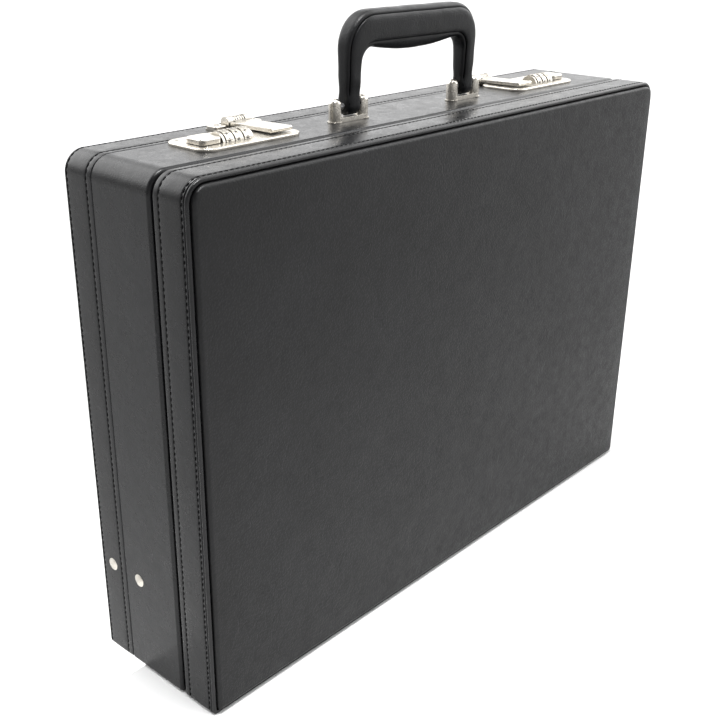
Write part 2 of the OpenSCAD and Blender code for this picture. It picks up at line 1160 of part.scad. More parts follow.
module dial_axles()
{
    color(steel)
        both_ends()
            across(dial_x - ridge_length / 2, ridge_length)
                translate([dial_y, dial_z])
                    circle(dial_axle, $fn = small);
}

// Plate with a rolled tip, ribbed knuckle and an eyed tongue that drops into the lock.
module hasp()
{
    reach = hasp_y - 4;
    difference() {
        union() {
            across(tongue_x - hasp_half, 2 * hasp_half)
                union() {
                    polygon([[reach, case_height + 2.4], [hasp_tip + 1.2, case_height + 3.1],
                        [hasp_tip + 1.2, case_height + 5.2], [reach, case_height + 4.3]]);
                    translate([hasp_tip + 1.2, case_height + 4.1])
                        circle(1.3, $fn = small);
                }
            across(tongue_x - hasp_middle, 2 * hasp_middle)
                union() {
                    polygon([[hasp_y, case_height + 2.4], [reach - 1, case_height + 2.42],
                        [reach - 1, case_height + 4.3], [hasp_y, case_height + 5.8]]);
                    translate([hasp_y, hasp_z])
                        circle(hasp_core, $fn = small);
                }
            for (i = [-2 : 2])
                across(tongue_x + i * 1.8 - 0.45, 0.9)
                    translate([hasp_y, hasp_z])
                        circle(hasp_knuckle, $fn = small);
            across(tongue_x - tongue_thick / 2, tongue_thick)
                difference() {
                    translate([base_front + 36, case_height - 5])
                        square([7, 8.5]);
                    translate([base_front + 36.6, case_height - 2.8])
                        square([3, 2.4]);
                }
        }
        across(tongue_x - hasp_half, 2 * hasp_half)
            translate([hasp_y, hasp_z])
                circle(hasp_bore, $fn = small);
    }
}

module hasp_right()
{
    color(nickel)
        hasp();
}

module hasp_left()
{
    color(nickel)
        mirror([1, 0, 0])
            hasp();
}

module hasp_pins()
{
    color(steel)
        both_ends()
            across(tongue_x - hasp_half, 2 * hasp_half)
                translate([hasp_y, hasp_z])
                    circle(hasp_pin_radius, $fn = small);
}

// Foot with two screw ears and the two outer knuckles.
module strike()
{
    difference() {
        union() {
            block([tongue_x - strike_half, strike_front, case_height],
                [tongue_x + strike_half, strike_back, case_height + 1]);
            for (s = [-1, 1])
                translate([tongue_x + s * (strike_half - 4.2), strike_front + 1, case_height])
                    board(8.4, strike_back - strike_front - 1, ear_rise, 1.6, 1.6, 0, 0.8);
            for (s = [-1, 1])
                across(s < 0 ? tongue_x - hasp_half - 0.6 : tongue_x + hasp_middle + 0.4,
                    hasp_half - hasp_middle + 0.2)
                    union() {
                        translate([hasp_y, hasp_z])
                            circle(strike_knuckle, $fn = small);
                        translate([hasp_y - strike_knuckle, case_height])
                            square([2 * strike_knuckle, hasp_z - case_height]);
                    }
        }
        block([tongue_x - hasp_middle - 0.4, strike_front - over, case_height - over],
            [tongue_x + hasp_middle + 0.4, hasp_y + 3.6, case_height + 10]);
        across(tongue_x - hasp_half, 2 * hasp_half)
            translate([hasp_y, hasp_z])
                circle(hasp_pin_radius, $fn = small);
        posts(strike_screw_places(), lock_screw_shank, case_height - over, case_height + 10);
        posts(strike_screw_places(), lock_screw_head, case_height + ear_rise - 0.9,
            case_height + 10);
    }
}

module strike_right()
{
    color(nickel)
        strike();
}

module strike_left()
{
    color(nickel)
        mirror([1, 0, 0])
            strike();
}

module strike_screws()
{
    color(nickel)
        both_ends() {
            posts(strike_screw_places(), lock_screw_shank, case_height - 4,
                case_height + ear_rise - 0.9);
            posts(strike_screw_places(), lock_screw_head, case_height + ear_rise - 0.9,
                case_height + ear_rise - 0.3);
        }
}

base_frame();
base_lining();
expander_frame();
expander_panel();
expander_piping();
expander_sleeve();
expander_lining();
slide_plates();
slide_studs();
lid_frame();
lid_panel();
lid_lining();
lid_pocket();
card_pockets();
pen_loops();
hinge_leaf_base();
hinge_leaf_lid();
hinge_pin();
hinge_screws_base();
hinge_screws_lid();
stay_lower_left();
stay_lower_right();
stay_upper_left();
stay_upper_right();
stay_elbow_left();
stay_elbow_right();
stay_rivets_base();
stay_rivets_lid();
handle_cover();
handle_core();
handle_bracket_left();
handle_bracket_right();
handle_pins();
bracket_plates();
bracket_nuts();
lock_plate_left();
lock_plate_right();
lock_case_left();
lock_case_right();
lock_screws();
lock_button_left();
lock_button_right();
lock_slide_left();
lock_slide_right();
dial_left_outer();
dial_left_middle();
dial_left_inner();
dial_right_inner();
dial_right_middle();
dial_right_outer();
dial_axles();
hasp_left();
hasp_right();
hasp_pins();
strike_left();
strike_right();
strike_screws();
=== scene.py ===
"""The looks of the leather attache case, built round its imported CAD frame. Lengths are in millimetres."""
import json
import math

import bmesh
import bpy
import numpy as np
from mathutils import Matrix, Vector, noise

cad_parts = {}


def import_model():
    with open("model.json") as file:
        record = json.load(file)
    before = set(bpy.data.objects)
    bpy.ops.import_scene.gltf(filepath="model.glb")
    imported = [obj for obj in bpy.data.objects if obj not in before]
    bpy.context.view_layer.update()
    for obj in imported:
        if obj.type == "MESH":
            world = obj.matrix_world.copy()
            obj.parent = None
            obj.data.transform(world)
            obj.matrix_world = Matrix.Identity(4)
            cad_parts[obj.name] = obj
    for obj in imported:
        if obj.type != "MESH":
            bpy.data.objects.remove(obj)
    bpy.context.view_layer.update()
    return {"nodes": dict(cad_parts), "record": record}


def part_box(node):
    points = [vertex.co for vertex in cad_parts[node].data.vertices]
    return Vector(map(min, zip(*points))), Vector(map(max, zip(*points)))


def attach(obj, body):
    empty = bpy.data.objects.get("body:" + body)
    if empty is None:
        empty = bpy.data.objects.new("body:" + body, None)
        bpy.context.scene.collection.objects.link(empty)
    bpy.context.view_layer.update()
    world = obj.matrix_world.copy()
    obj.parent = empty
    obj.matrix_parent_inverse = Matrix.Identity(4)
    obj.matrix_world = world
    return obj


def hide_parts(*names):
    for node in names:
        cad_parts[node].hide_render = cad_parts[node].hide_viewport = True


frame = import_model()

NODES = frame["nodes"]
MM = 0.001
STITCH_PITCH = 3.6


def box(node):
    low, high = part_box(node)
    return np.array(low) / MM, np.array(high) / MM


# ---------------------------------------------------------------- materials


class Net:
    """A material with a Principled shader, and short calls to add nodes before it."""

    def __init__(self, name):
        self.mat = bpy.data.materials.new(name)
        self.mat.use_nodes = True
        self.tree = self.mat.node_tree
        self.tree.nodes.clear()
        out = self.add("OutputMaterial")
        self.shader = self.add("BsdfPrincipled")
        self.tree.links.new(self.shader.outputs[0], out.inputs[0])
        coords = self.add("TexCoord")
        self.place = (coords, 3)

    def add(self, kind, props=None, **inputs):
        node = self.tree.nodes.new("ShaderNode" + kind)
        for key, value in (props or {}).items():
            setattr(node, key, value)
        for key, value in inputs.items():
            self.feed(node, key, value)
        return node

    def feed(self, node, key, value):
        socket = node.inputs[int(key[1:])] if key[0] == "_" else node.inputs[key.replace("_", " ")]
        if isinstance(value, tuple) and isinstance(value[0], bpy.types.Node):
            self.tree.links.new(value[0].outputs[value[1]], socket)
        else:
            socket.default_value = value

    def set(self, **inputs):
        for key, value in inputs.items():
            self.feed(self.shader, key, value)

    def noise(self, size, detail=3.0, rough=0.55, where=None):
        """Noise whose lumps are about size millimetres."""
        return (self.add("TexNoise", Vector=where or self.place, Scale=1 / (size * MM),
                         Detail=detail, Roughness=rough), 0)

    def cells(self, size, feature="F1", where=None):
        return (self.add("TexVoronoi", {"feature": feature}, Vector=where or self.place,
                         Scale=1 / (size * MM)), 0)

    def math(self, operation, a, b=0.0):
        return (self.add("Math", {"operation": operation}, _0=a, _1=b), 0)

    def span(self, value, low, high, to_low=0.0, to_high=1.0):
        """value from low..high to to_low..to_high, held at the ends."""
        return (self.add("MapRange", _0=value, _1=low, _2=high, _3=to_low, _4=to_high), 0)

    def mix(self, share, a, b):
        node = self.add("MixRGB", Fac=share)
        self.feed(node, "Color1", a if len(a) == 2 else (*a, 1.0))
        self.feed(node, "Color2", b if len(b) == 2 else (*b, 1.0))
        return (node, 0)

    def bump(self, height, depth, normal=None, strength=1.0):
        node = self.add("Bump", Height=height, Distance=depth * MM, Strength=strength)
        if normal:
            self.feed(node, "Normal", normal)
        return (node, 0)

    def warped(self, size, amount):
        """The place, pushed about by noise, so that cells get uneven shapes."""
        wob = self.add("TexNoise", Vector=self.place, Scale=1 / (size * MM), Detail=2.0)
        centred = self.add("VectorMath", {"operation": "SUBTRACT"}, _0=(wob, 1), _1=(0.5, 0.5, 0.5))
        scaled = self.add("VectorMath", {"operation": "SCALE"}, _0=(centred, 0))
        scaled.inputs["Scale"].default_value = amount * MM
        return (self.add("VectorMath", {"operation": "ADD"}, _0=self.place, _1=(scaled, 0)), 0)


def leather(name, dark, light, grain=1.2, depth=0.1, rough=(0.36, 0.5), specular=0.5,
            crease=9.0, worn=0.35):
    """Coated leather: rounded pebbles, faint creases, cloudy colour, and edges rubbed lighter."""
    net = Net(name)
    bent = net.warped(grain * 2.5, grain * 0.7)
    pebble = net.span(net.cells(grain, where=bent), 0.0, 0.62, 1.0, 0.0)
    fine = net.noise(grain * 0.35, 2.0)
    fold = net.span(net.cells(crease, "DISTANCE_TO_EDGE", net.warped(crease, crease * 0.8)),
                    0.0, 0.07, 0.0, 1.0)
    patch = net.span(net.noise(28, 2.0), 0.42, 0.62)
    fold = net.math("MAXIMUM", fold, net.span(patch, 0.0, 1.0, 1.0, 0.35))
    cloud = net.span(net.noise(55, 4.0, 0.6), 0.35, 0.68)
    pits = net.span(pebble, 0.0, 0.55, 0.72, 1.0)
    tone = net.mix(cloud, dark, light)
    deep = net.add("MixRGB", {"blend_type": "MULTIPLY"}, Fac=1.0, Color1=tone)
    net.tree.links.new(pits[0].outputs[0], deep.inputs["Color2"])
    geometry = net.add("NewGeometry")
    raised = net.span((geometry, 7), 0.52, 0.6)
    rub = net.math("MULTIPLY", raised, net.span(net.noise(3.5, 3.0), 0.4, 0.65, 0.3, 1.0))
    rub = net.math("MULTIPLY", rub, worn)
    net.set(Base_Color=net.mix(rub, (deep, 0), tuple(2.6 * c for c in light)))
    gloss = net.span(net.noise(7, 4.0), 0.3, 0.7, rough[0], rough[1])
    gloss = net.math("ADD", gloss, net.span(pebble, 0.0, 0.5, 0.06, 0.0))
    net.set(Roughness=gloss, Specular_IOR_Level=specular)
    soft = net.bump(net.noise(16, 2.0), 0.2)
    creased = net.bump(fold, depth * 0.8, soft)
    grained = net.bump(pebble, depth, creased)
    net.set(Normal=net.bump(fine, depth * 0.25, grained))
    return net.mat


def metal(name, pale, deep, rough=(0.24, 0.36), brush=None, edge=0.22):
    """Satin plated metal: soft edges, dull patches, hair scratches, and painted shade mixed with grime in the
    corners.
    """
    net = Net(name)
    patch = net.span(net.noise(6, 4.0), 0.35, 0.68)
    tone = net.mix(patch, deep, pale)
    # painted shade mixed with grime: ambient occlusion darkens the colour toward a dark brown grey in corners
    # and crevices, and also roughens them
    shade = net.add("AmbientOcclusion", {"samples": 6}, Distance=1.6 * MM)
    corner = net.span((shade, 1), 0.35, 0.85, 1.0, 0.0)
    grime_and_painted_shade = net.math("MULTIPLY", corner, net.span(net.noise(1.4, 2.0), 0.3, 0.7, 0.45, 0.9))
    net.set(Base_Color=net.mix(grime_and_painted_shade, tone, tuple(0.16 * c for c in deep)), Metallic=1.0)
    stretch = net.add("Mapping", _0=net.place)
    stretch.inputs["Scale"].default_value = brush or (1.0, 6.0, 6.0)
    hair = net.noise(0.5, 3.0, 0.7, (stretch, 0))
    dull = net.span(net.noise(2.2, 3.0), 0.3, 0.72, rough[0], rough[1])
    net.set(Roughness=net.math("ADD", dull, net.span(grime_and_painted_shade, 0.0, 1.0, 0.0, 0.25)))
    rounded = net.add("Bevel", {"samples": 5})
    rounded.inputs[0].default_value = edge * MM
    worn = net.bump(net.noise(2.8, 2.0), 0.05, (rounded, 0))
    net.set(Normal=net.bump(hair, 0.012, worn))
    return net.mat


def woven(name, dark, light, pitch=0.9, nap=0.5, rough=0.92, depth=0.12):
    """Thin lining cloth: crossed threads, a soft nap, and uneven dye."""
    net = Net(name)
    wave = {"wave_type": "BANDS", "wave_profile": "SIN"}
    bent = net.warped(6, 0.25)
    scale = 2 * math.pi / (20 * pitch * MM)
    warp = (net.add("TexWave", {**wave, "bands_direction": "X"}, Vector=bent, Scale=scale), 1)
    weft = (net.add("TexWave", {**wave, "bands_direction": "Z"}, Vector=bent, Scale=scale), 1)
    side = (net.add("TexWave", {**wave, "bands_direction": "Y"}, Vector=bent, Scale=scale), 1)
    weave = net.math("MULTIPLY", net.math("ADD", warp, side), weft)
    fuzz = net.noise(0.5, 3.0)
    cloud = net.span(net.noise(30, 4.0), 0.3, 0.7)
    tone = net.mix(cloud, dark, light)
    net.set(Base_Color=net.mix(net.span(weave, 0.0, 1.2, 0.0, 0.55), tone, tuple(1.7 * c for c in light)))
    net.set(Roughness=net.span(fuzz, 0.3, 0.7, rough - 0.08, rough + 0.06), Specular_IOR_Level=0.25)
    net.set(Sheen_Weight=nap, Sheen_Roughness=0.5)
    net.set(Normal=net.bump(fuzz, depth * 0.6, net.bump(weave, depth)))
    return net.mat


def thread(name, colour):
    """Dull sewing thread with its twist."""
    net = Net(name)
    twist = net.noise(0.32, 3.0, 0.6)
    net.set(Base_Color=net.mix(net.span(twist, 0.3, 0.7), tuple(0.55 * c for c in colour), colour))
    net.set(Roughness=net.span(net.noise(4, 2.0), 0.3, 0.7, 0.8, 0.95), Specular_IOR_Level=0.1)
    net.set(Normal=net.bump(twist, 0.08))
    return net.mat


def moulded(name, dark, light):
    """Moulded plastic with a fine spark texture."""
    net = Net(name)
    net.set(Base_Color=net.mix(net.span(net.noise(12, 3.0), 0.3, 0.7), dark, light))
    net.set(Roughness=net.span(net.noise(1.5, 3.0), 0.3, 0.7, 0.42, 0.6))
    net.set(Normal=net.bump(net.noise(0.35, 2.0), 0.04))
    return net.mat


def studio_floor():
    net = Net("studio_floor")
    tone = net.mix(net.span(net.noise(180, 3.0), 0.3, 0.7), FLOOR_TONE[0], FLOOR_TONE[1])
    net.set(Base_Color=tone, Roughness=net.span(net.noise(40, 3.0), 0.3, 0.7, 0.7, 0.85),
            Specular_IOR_Level=0.1)
    net.set(Normal=net.bump(net.noise(2.5, 2.0), 0.03))
    return net.mat


FLOOR_TONE = ((0.835, 0.835, 0.835), (0.85, 0.85, 0.85))

LEATHER = leather("case_leather", (0.0036, 0.0037, 0.0042), (0.0062, 0.0065, 0.0075), grain=1.1,
                  depth=0.026, rough=(0.23, 0.32), specular=0.25)
PANEL = leather("panel_leather", (0.004, 0.0041, 0.0045), (0.007, 0.0072, 0.008), grain=1.35,
                depth=0.08, rough=(0.34, 0.46), specular=0.22)
WELT = leather("piping_leather", (0.0042, 0.0043, 0.0048), (0.008, 0.0083, 0.0094), grain=0.9,
               depth=0.03, rough=(0.24, 0.34), specular=0.28)
GRIP = leather("handle_leather", (0.0032, 0.0033, 0.0039), (0.0056, 0.0059, 0.0072), grain=1.0,
               depth=0.07, rough=(0.3, 0.42), specular=0.22, crease=6.0)
POCKET = leather("pocket_leather", (0.016, 0.0155, 0.015), (0.028, 0.0272, 0.026), grain=1.0,
                 depth=0.07, rough=(0.42, 0.56))
CLOTH = woven("lining_cloth", (0.022, 0.021, 0.021), (0.036, 0.035, 0.034))
BOARD = woven("sleeve_cloth", (0.007, 0.007, 0.0075), (0.012, 0.012, 0.0125), pitch=0.7, nap=0.12)
NICKEL = metal("satin_nickel", (0.66, 0.628, 0.568), (0.53, 0.50, 0.448))
DIAL = metal("dial_nickel", (0.62, 0.585, 0.52), (0.48, 0.45, 0.40), rough=(0.28, 0.42), edge=0.12)
STEEL = metal("plain_steel", (0.62, 0.62, 0.62), (0.45, 0.45, 0.46), rough=(0.3, 0.46), edge=0.1)
CORE = moulded("handle_core", (0.03, 0.03, 0.032), (0.05, 0.05, 0.052))
THREAD = thread("black_thread", (0.0042, 0.0042, 0.0046))
DARK_THREAD = thread("charcoal_thread", (0.02, 0.02, 0.021))
INK = moulded("dial_ink", (0.006, 0.006, 0.006), (0.011, 0.011, 0.011))

SLOT_LOOK = {
    "case_leather": LEATHER, "panel_leather": PANEL, "piping_leather": WELT,
    "handle_leather": GRIP, "pocket_leather": POCKET, "lining_cloth": CLOTH,
    "sleeve_board": BOARD, "nickel": NICKEL, "dial_metal": DIAL, "plain_steel": STEEL,
    "handle_core": CORE,
}


def dress(node, look):
    mesh = NODES[node].data
    mesh.materials.clear()
    mesh.materials.append(look)


# ---------------------------------------------------------------- mesh helpers


def make(name, points, faces, look, body, sharp=35.0):
    """One mesh piece from points in millimetres, riding on a body."""
    mesh = bpy.data.meshes.new(name)
    mesh.from_pydata([tuple(p) for p in np.asarray(points, float) * MM], [], faces)
    work = bmesh.new()
    work.from_mesh(mesh)
    bmesh.ops.recalc_face_normals(work, faces=work.faces)
    work.to_mesh(mesh)
    work.free()
    mesh.materials.append(look)
    mesh.shade_smooth()
    mesh.set_sharp_from_angle(angle=math.radians(sharp))
    piece = bpy.data.objects.new(name, mesh)
    bpy.context.scene.collection.objects.link(piece)
    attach(piece, body)
    return piece


def joined(parts):
    """Points and faces of several (points, faces) parts as one."""
    points, faces, start = [], [], 0
    for part_points, part_faces in parts:
        points.append(np.asarray(part_points, float))
        faces.extend([tuple(i + start for i in f) for f in part_faces])
        start += len(part_points)
    return np.vstack(points), faces


def tube(stations, closed_line=False, closed_section=True, caps=True):
    """Faces over stations, an array of sections x points x 3."""
    stations = np.asarray(stations, float)
    n, m = stations.shape[:2]
    faces = []
    for i in range(n if closed_line else n - 1):
        k = (i + 1) % n
        for j in range(m if closed_section else m - 1):
            l = (j + 1) % m
            faces.append((i * m + j, i * m + l, k * m + l, k * m + j))
    if caps and not closed_line:
        faces.append(tuple(range(m)))
        faces.append(tuple((n - 1) * m + j for j in range(m)))
    return stations.reshape(-1, 3), faces


def smooth_step(t):
    t = np.clip(t, 0.0, 1.0)
    return t * t * (3 - 2 * t)


def lumps(x, y, z, size, seed):
    """Smooth noise from about -1 to 1 at each point."""
    return np.array([
        noise.noise(Vector((a / size + seed, b / size - seed, c / size)))
        for a, b, c in zip(np.ravel(x), np.ravel(y), np.ravel(z))
    ]).reshape(np.shape(x))


class Rim:
    """The closed outline of the case in X and Z. Bands, welt and seams follow it, some distance inside."""

    def __init__(self, low, high, r_top, r_foot, step, least=0.8, breaks=()):
        self.half, self.low, self.high = (high[0] - low[0]) / 2, low[2], high[2]
        self.r_top, self.r_foot, self.least = r_top, r_foot, least
        rows = []

        def straight(a, b, length, marks=()):
            n = max(2, int(round(length / step)))
            shares = sorted(set([i / n for i in range(n)] + list(marks)))
            rows.extend((*a, *b, u) for u in shares)

        def arc(corner, start, radius):
            n = max(3, int(round(radius * math.pi / 2 / min(step, radius / 4))))
            rows.extend((corner, start + 90 * i / n) * 2 + (0.0,) for i in range(n))

        wide, tall = 2 * self.half, self.high - self.low
        flat = wide - 2 * r_foot
        marks = [(x + flat / 2) / flat for x in breaks]
        straight((0, 270), (1, 270), flat, marks)
        arc(1, -90, r_foot)
        straight((1, 0), (2, 0), tall - r_foot - r_top)
        arc(2, 0, r_top)
        straight((2, 90), (3, 90), wide - 2 * r_top)
        arc(3, 90, r_top)
        straight((3, 180), (0, 180), tall - r_foot - r_top)
        arc(0, 180, r_foot)
        table = np.array(rows, float)
        self.ends = [(table[:, 0].astype(int), np.radians(table[:, 1])),
                     (table[:, 2].astype(int), np.radians(table[:, 3]))]
        self.share = table[:, 4]
        self.count = len(table)
        x, z = self.at(np.zeros(self.count))
        steps = np.hypot(np.diff(x, append=x[0]), np.diff(z, append=z[0]))
        self.length = steps.sum()
        self.run = np.concatenate([[0], np.cumsum(steps)[:-1]])

    def at(self, d):
        """X and Z at distance d inside the outline, for one distance or a row of distances per sample."""
        d = np.asarray(d, float)
        grown = (slice(None),) + (None,) * (d.ndim - 1)
        share = self.share[grown]
        x, z = 0.0, 0.0
        for (corner, angle), weight in zip(self.ends, (1 - share, share)):
            corner, angle = corner[grown], angle[grown]
            top = corner >= 2
            r = np.maximum(np.where(top, self.r_top, self.r_foot) - d, self.least)
            side = np.where((corner == 1) | (corner == 2), 1.0, -1.0)
            centre_x = side * (self.half - d - r)
            centre_z = np.where(top, self.high - d - r, self.low + d + r)
            x = x + weight * (centre_x + r * np.cos(angle))
            z = z + weight * (centre_z + r * np.sin(angle))
        return x, z

    def along(self, run, d):
        """X and Z at a distance run round the outline, d inside it."""
        x, z = self.at(np.full(self.count, float(d)))
        line = np.append(self.run, self.length)
        run = np.mod(run, self.length)
        return np.interp(run, line, np.append(x, x[0])), np.interp(run, line, np.append(z, z[0]))

    def ring(self, d, y):
        """Points and faces of a closed ring, from rows of distance and Y for every sample."""
        x, z = self.at(d)
        return tube(np.stack([x, y, z], axis=-1), closed_line=True)


def edge(d0, y0, d1, y1, centre, n=5):
    """A quarter turn of a profile between two points, bulging away from centre."""
    cd, cy = centre
    a0, a1 = math.atan2(y0 - cy, d0 - cd), math.atan2(y1 - cy, d1 - cd)
    if a1 - a0 > math.pi:
        a1 -= 2 * math.pi
    if a0 - a1 > math.pi:
        a0 -= 2 * math.pi
    r0, r1 = math.hypot(d0 - cd, y0 - cy), math.hypot(d1 - cd, y1 - cy)
    out = []
    for i in range(n + 1):
        t = i / n
        a, r = a0 + (a1 - a0) * t, r0 + (r1 - r0) * t
        out.append((cd + r * math.cos(a), cy + r * math.sin(a)))
    return out


def face_run(y0, y1, rows, fine=0.22, coarse=2.4):
    """Y stations between two edges, close together near the stitch rows."""
    marks = {round(y0, 3), round(y1, 3)}
    n = max(2, int((y1 - y0) / coarse))
    marks |= {round(y0 + (y1 - y0) * i / n, 3) for i in range(1, n)}
    for row in rows:
        marks |= {round(row + fine * i, 3) for i in range(-6, 7) if y0 < row + fine * i < y1}
    marks = sorted(marks)
    return [m for i, m in enumerate(marks) if i == 0 or m - marks[i - 1] > 0.09]


def swept(rim, profile):
    """The distances and Y of a profile, repeated for every sample of the rim."""
    profile = np.array(profile, float)
    return (np.repeat(profile[None, :, k], rim.count, axis=0) for k in (0, 1))


def sewn(d, y, rim, rows, on):
    """The profile's distances pulled in along the stitch rows, a little more at each stitch's ends."""
    groove, dip, beat_dip = 0.5, 0.34, 0.12
    hollow, hollow_dip = 1.5, 0.12
    beat = np.cos(2 * math.pi * rim.run / STITCH_PITCH)[:, None]
    for row in rows:
        near = np.exp(-(((y - row) / groove) ** 2))
        wide = np.exp(-(((y - row) / hollow) ** 2))
        d = d + on * (near * (dip - beat_dip * beat) + wide * hollow_dip)
    return d


def band(rim, profile, outer, rows, seed, mend=None):
    """Points and faces of a leather-covered frame, sewn and slightly uneven on its outer face."""
    bulge, uneven, lump_size = 0.12, 0.07, 24.0
    d, y = swept(rim, profile)
    on = np.zeros(len(profile))
    on[outer[0]:outer[1]] = 1.0
    face = y[0, outer[0]:outer[1]]
    middle = np.zeros(len(profile))
    middle[outer[0]:outer[1]] = np.sin(
        math.pi * (face - face[0]) / (face[-1] - face[0])) ** 0.8
    d = sewn(d, y, rim, rows, on[None, :])
    d = d - bulge * middle[None, :]
    x, z = rim.at(d)
    d = d - uneven * lumps(x, y, z, lump_size, seed) * middle[None, :]
    if mend:
        d, y = mend(d, y)
    return rim.ring(d, y)


# where a stitch's five sections lie, from one end at -1 to the other at 1
SPOTS = np.linspace(-1, 1, 5)


def stitch(line, out, side, sink, thick):
    """One thread: a short rod along line, thinner to its ends, which sink into the leather."""
    turns = np.arange(6) * math.pi / 3
    line = line - out * (sink * np.abs(SPOTS[:, None]) ** 2.5)
    size = thick * (1 - 0.35 * SPOTS ** 4)
    return tube([line[i] + size[i] * (np.cos(turns)[:, None] * out[i] + np.sin(turns)[:, None] * side)
                 for i in range(len(SPOTS))])


def stitch_row(rim, y, keep=None):
    """Every thread of one row round the case. Those underneath are pressed flat."""
    length, thick, depth, slant, sink, lowest = 2.6, 0.36, 0.12, 0.1, 0.42, 0.03
    count = int(round(rim.length / STITCH_PITCH))
    pitch = rim.length / count
    parts = []
    for k in range(count):
        run = (k + 0.5) * pitch + SPOTS * length / 2
        x, z = rim.along(run, depth)
        if keep and not keep(x[2], z[2]):
            continue
        wide_x, wide_z = rim.along(run, depth - 1)
        out = np.stack([wide_x - x, np.zeros(len(SPOTS)), wide_z - z], axis=-1)
        out /= np.linalg.norm(out, axis=1)[:, None]
        line = np.stack([x, y + slant * SPOTS, z], axis=-1)
        parts.append(stitch(line, out, np.array([0, 1.0, 0]), sink, thick))
    points, faces = joined(parts)
    points[:, 2] = np.maximum(points[:, 2], lowest)
    return points, faces


def sheet_faces(nx, nz):
    """Faces of a front grid, the same grid behind it, and the strip round their edges."""
    number = np.arange(nx * nz).reshape(nx, nz)
    faces = []
    for i in range(nx - 1):
        for j in range(nz - 1):
            quad = (number[i, j], number[i + 1, j], number[i + 1, j + 1], number[i, j + 1])
            faces.append(tuple(int(v) for v in quad))
            faces.append(tuple(int(v) + nx * nz for v in reversed(quad)))
    ring = [*number[:, 0], *number[-1, 1:], *number[-2::-1, -1], *number[0, -2:0:-1]]
    for a, b in zip(ring, ring[1:] + ring[:1]):
        faces.append((int(a), int(b), int(b) + nx * nz, int(a) + nx * nz))
    return faces


# ---------------------------------------------------------------- case shells

_, base_high = box("base_frame")
band_low, band_high = box("expander_frame")
lid_low, lid_high = box("lid_frame")
TOP_TURN, FOOT_TURN, WALL = 12.5, 2.8, 5.0
HINGE = box("hinge_leaf_lid")
hinge_reach = HINGE[1][0] + 0.3
leaf_top, leaf_far = 1.2, HINGE[1][1] + 0.2
groove_y = lid_low[1] - 0.2 + 3.0

rim = Rim(band_low, band_high, TOP_TURN, FOOT_TURN, STITCH_PITCH / 4)
lid_rim = Rim(lid_low, lid_high, TOP_TURN, FOOT_TURN, STITCH_PITCH / 4,
              breaks=(-hinge_reach - 0.1, -hinge_reach, hinge_reach, hinge_reach + 0.1))

# The band round the expanding front section.
y0, y1 = band_low[1], band_high[1]
front_rows = (y0 + 1.7, y1 - 4.6)
outer = face_run(y0 + 0.8, y1 - 1.2, front_rows)
profile = (
    edge(0.8, y0, 0.0, y0 + 0.8, (0.8, y0 + 0.8))
    + [(0.0, y) for y in outer[1:-1]]
    + edge(0.0, y1 - 1.2, 1.2, y1, (1.2, y1 - 1.2))
    + [(3.0, y1), (WALL, y1), (WALL, (y0 + y1) / 2), (WALL, y0), (3.0, y0)]
)
span = (5, 5 + len(outer))
points, faces = band(rim, profile, span, front_rows, seed=3.0)
expander_band = make("expander_band", points, faces, LEATHER, "expander")
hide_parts("expander_frame")

# The lid's band, with the hinge's room in its bottom edge.
y0, y1 = lid_low[1], lid_high[1]
back_rows = (y0 + 4.6, y1 - 2.5)
floor_y = box("lid_lining")[1][1]
rebate = 4.0
outer = face_run(y0 + 0.5, y1 - 1.8, back_rows)
outer = sorted(outer + [leaf_far - 0.05, leaf_far + 0.05])
profile = (
    edge(0.5, y0, 0.0, y0 + 0.5, (0.5, y0 + 0.5), 3)
    + [(0.0, y) for y in outer[1:-1]]
    + edge(0.0, y1 - 1.8, 1.8, y1, (1.8, y1 - 1.8), 6)
    + edge(rebate - 0.4, y1, rebate, y1 - 0.4, (rebate - 0.4, y1 - 0.4), 2)
    + [(rebate, floor_y), (WALL, floor_y), (WALL, (y0 + floor_y) / 2), (WALL, y0), (2.5, y0)]
)
span = (3, 3 + len(outer))


def mend_lid(d, y):
    """Cuts the hinge's groove and the leaf's recess into the bottom of the lid band."""
    x, z = lid_rim.at(d)
    bottom = (np.abs(x) < hinge_reach + 0.02) & (z < WALL + 0.3)
    in_leaf = bottom & (y < leaf_far) & (d < leaf_top)
    d = np.where(in_leaf, leaf_top, d)
    return d, np.where(bottom & (y < groove_y), groove_y, y)


points, faces = band(lid_rim, profile, span, back_rows, seed=8.0, mend=mend_lid)
# past the hinge's ends a slanted notch keeps the opened lid clear of the base
notch_rise, notch_slope = 2.35, 0.779
notch = notch_rise - (points[:, 1] - (y0 - 0.2)) * notch_slope
points[:, 2] = np.where((notch > 0) & (points[:, 2] < notch) & (points[:, 1] < groove_y + 0.01)
                        & (np.abs(points[:, 0]) > hinge_reach), notch, points[:, 2])
lid_band = make("lid_band", points, faces, LEATHER, "lid")
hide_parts("lid_frame")

for k, row in enumerate(front_rows):
    points, faces = stitch_row(rim, row)
    make(f"expander_stitches_{k}", points, faces, THREAD, "expander", sharp=60)
for k, row in enumerate(back_rows):
    points, faces = stitch_row(
        lid_rim, row, keep=lambda x, z: k == 1 or z > 3 or abs(x) > hinge_reach + 2)
    make(f"lid_stitches_{k}", points, faces, THREAD, "lid", sharp=60)

# The welt between the band and the front panel: a leather-wrapped cord on its flange.
cord_back = box("expander_piping")[1][1]
cord_r = 1.3
cord_y = cord_back - cord_r
profile = [(cord_r + cord_r * math.cos(a), cord_y + cord_r * math.sin(a))
           for a in np.radians(np.linspace(38, 322, 22))]
profile += [(cord_r + 1.35, cord_back - 0.75), (WALL, cord_back - 0.7),
            (WALL, cord_back - 0.02), (cord_r + 1.3, cord_back - 0.02)]
d, y = swept(rim, profile)
x, z = rim.at(d)
swell = 0.05 * lumps(x, y, z, 9.0, 5.0) * (d < 2.5)
points, faces = rim.ring(d - swell, y)
welt = make("expander_welt", points, faces, WELT, "expander")
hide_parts("expander_piping")


# ---------------------------------------------------------------- padded panels


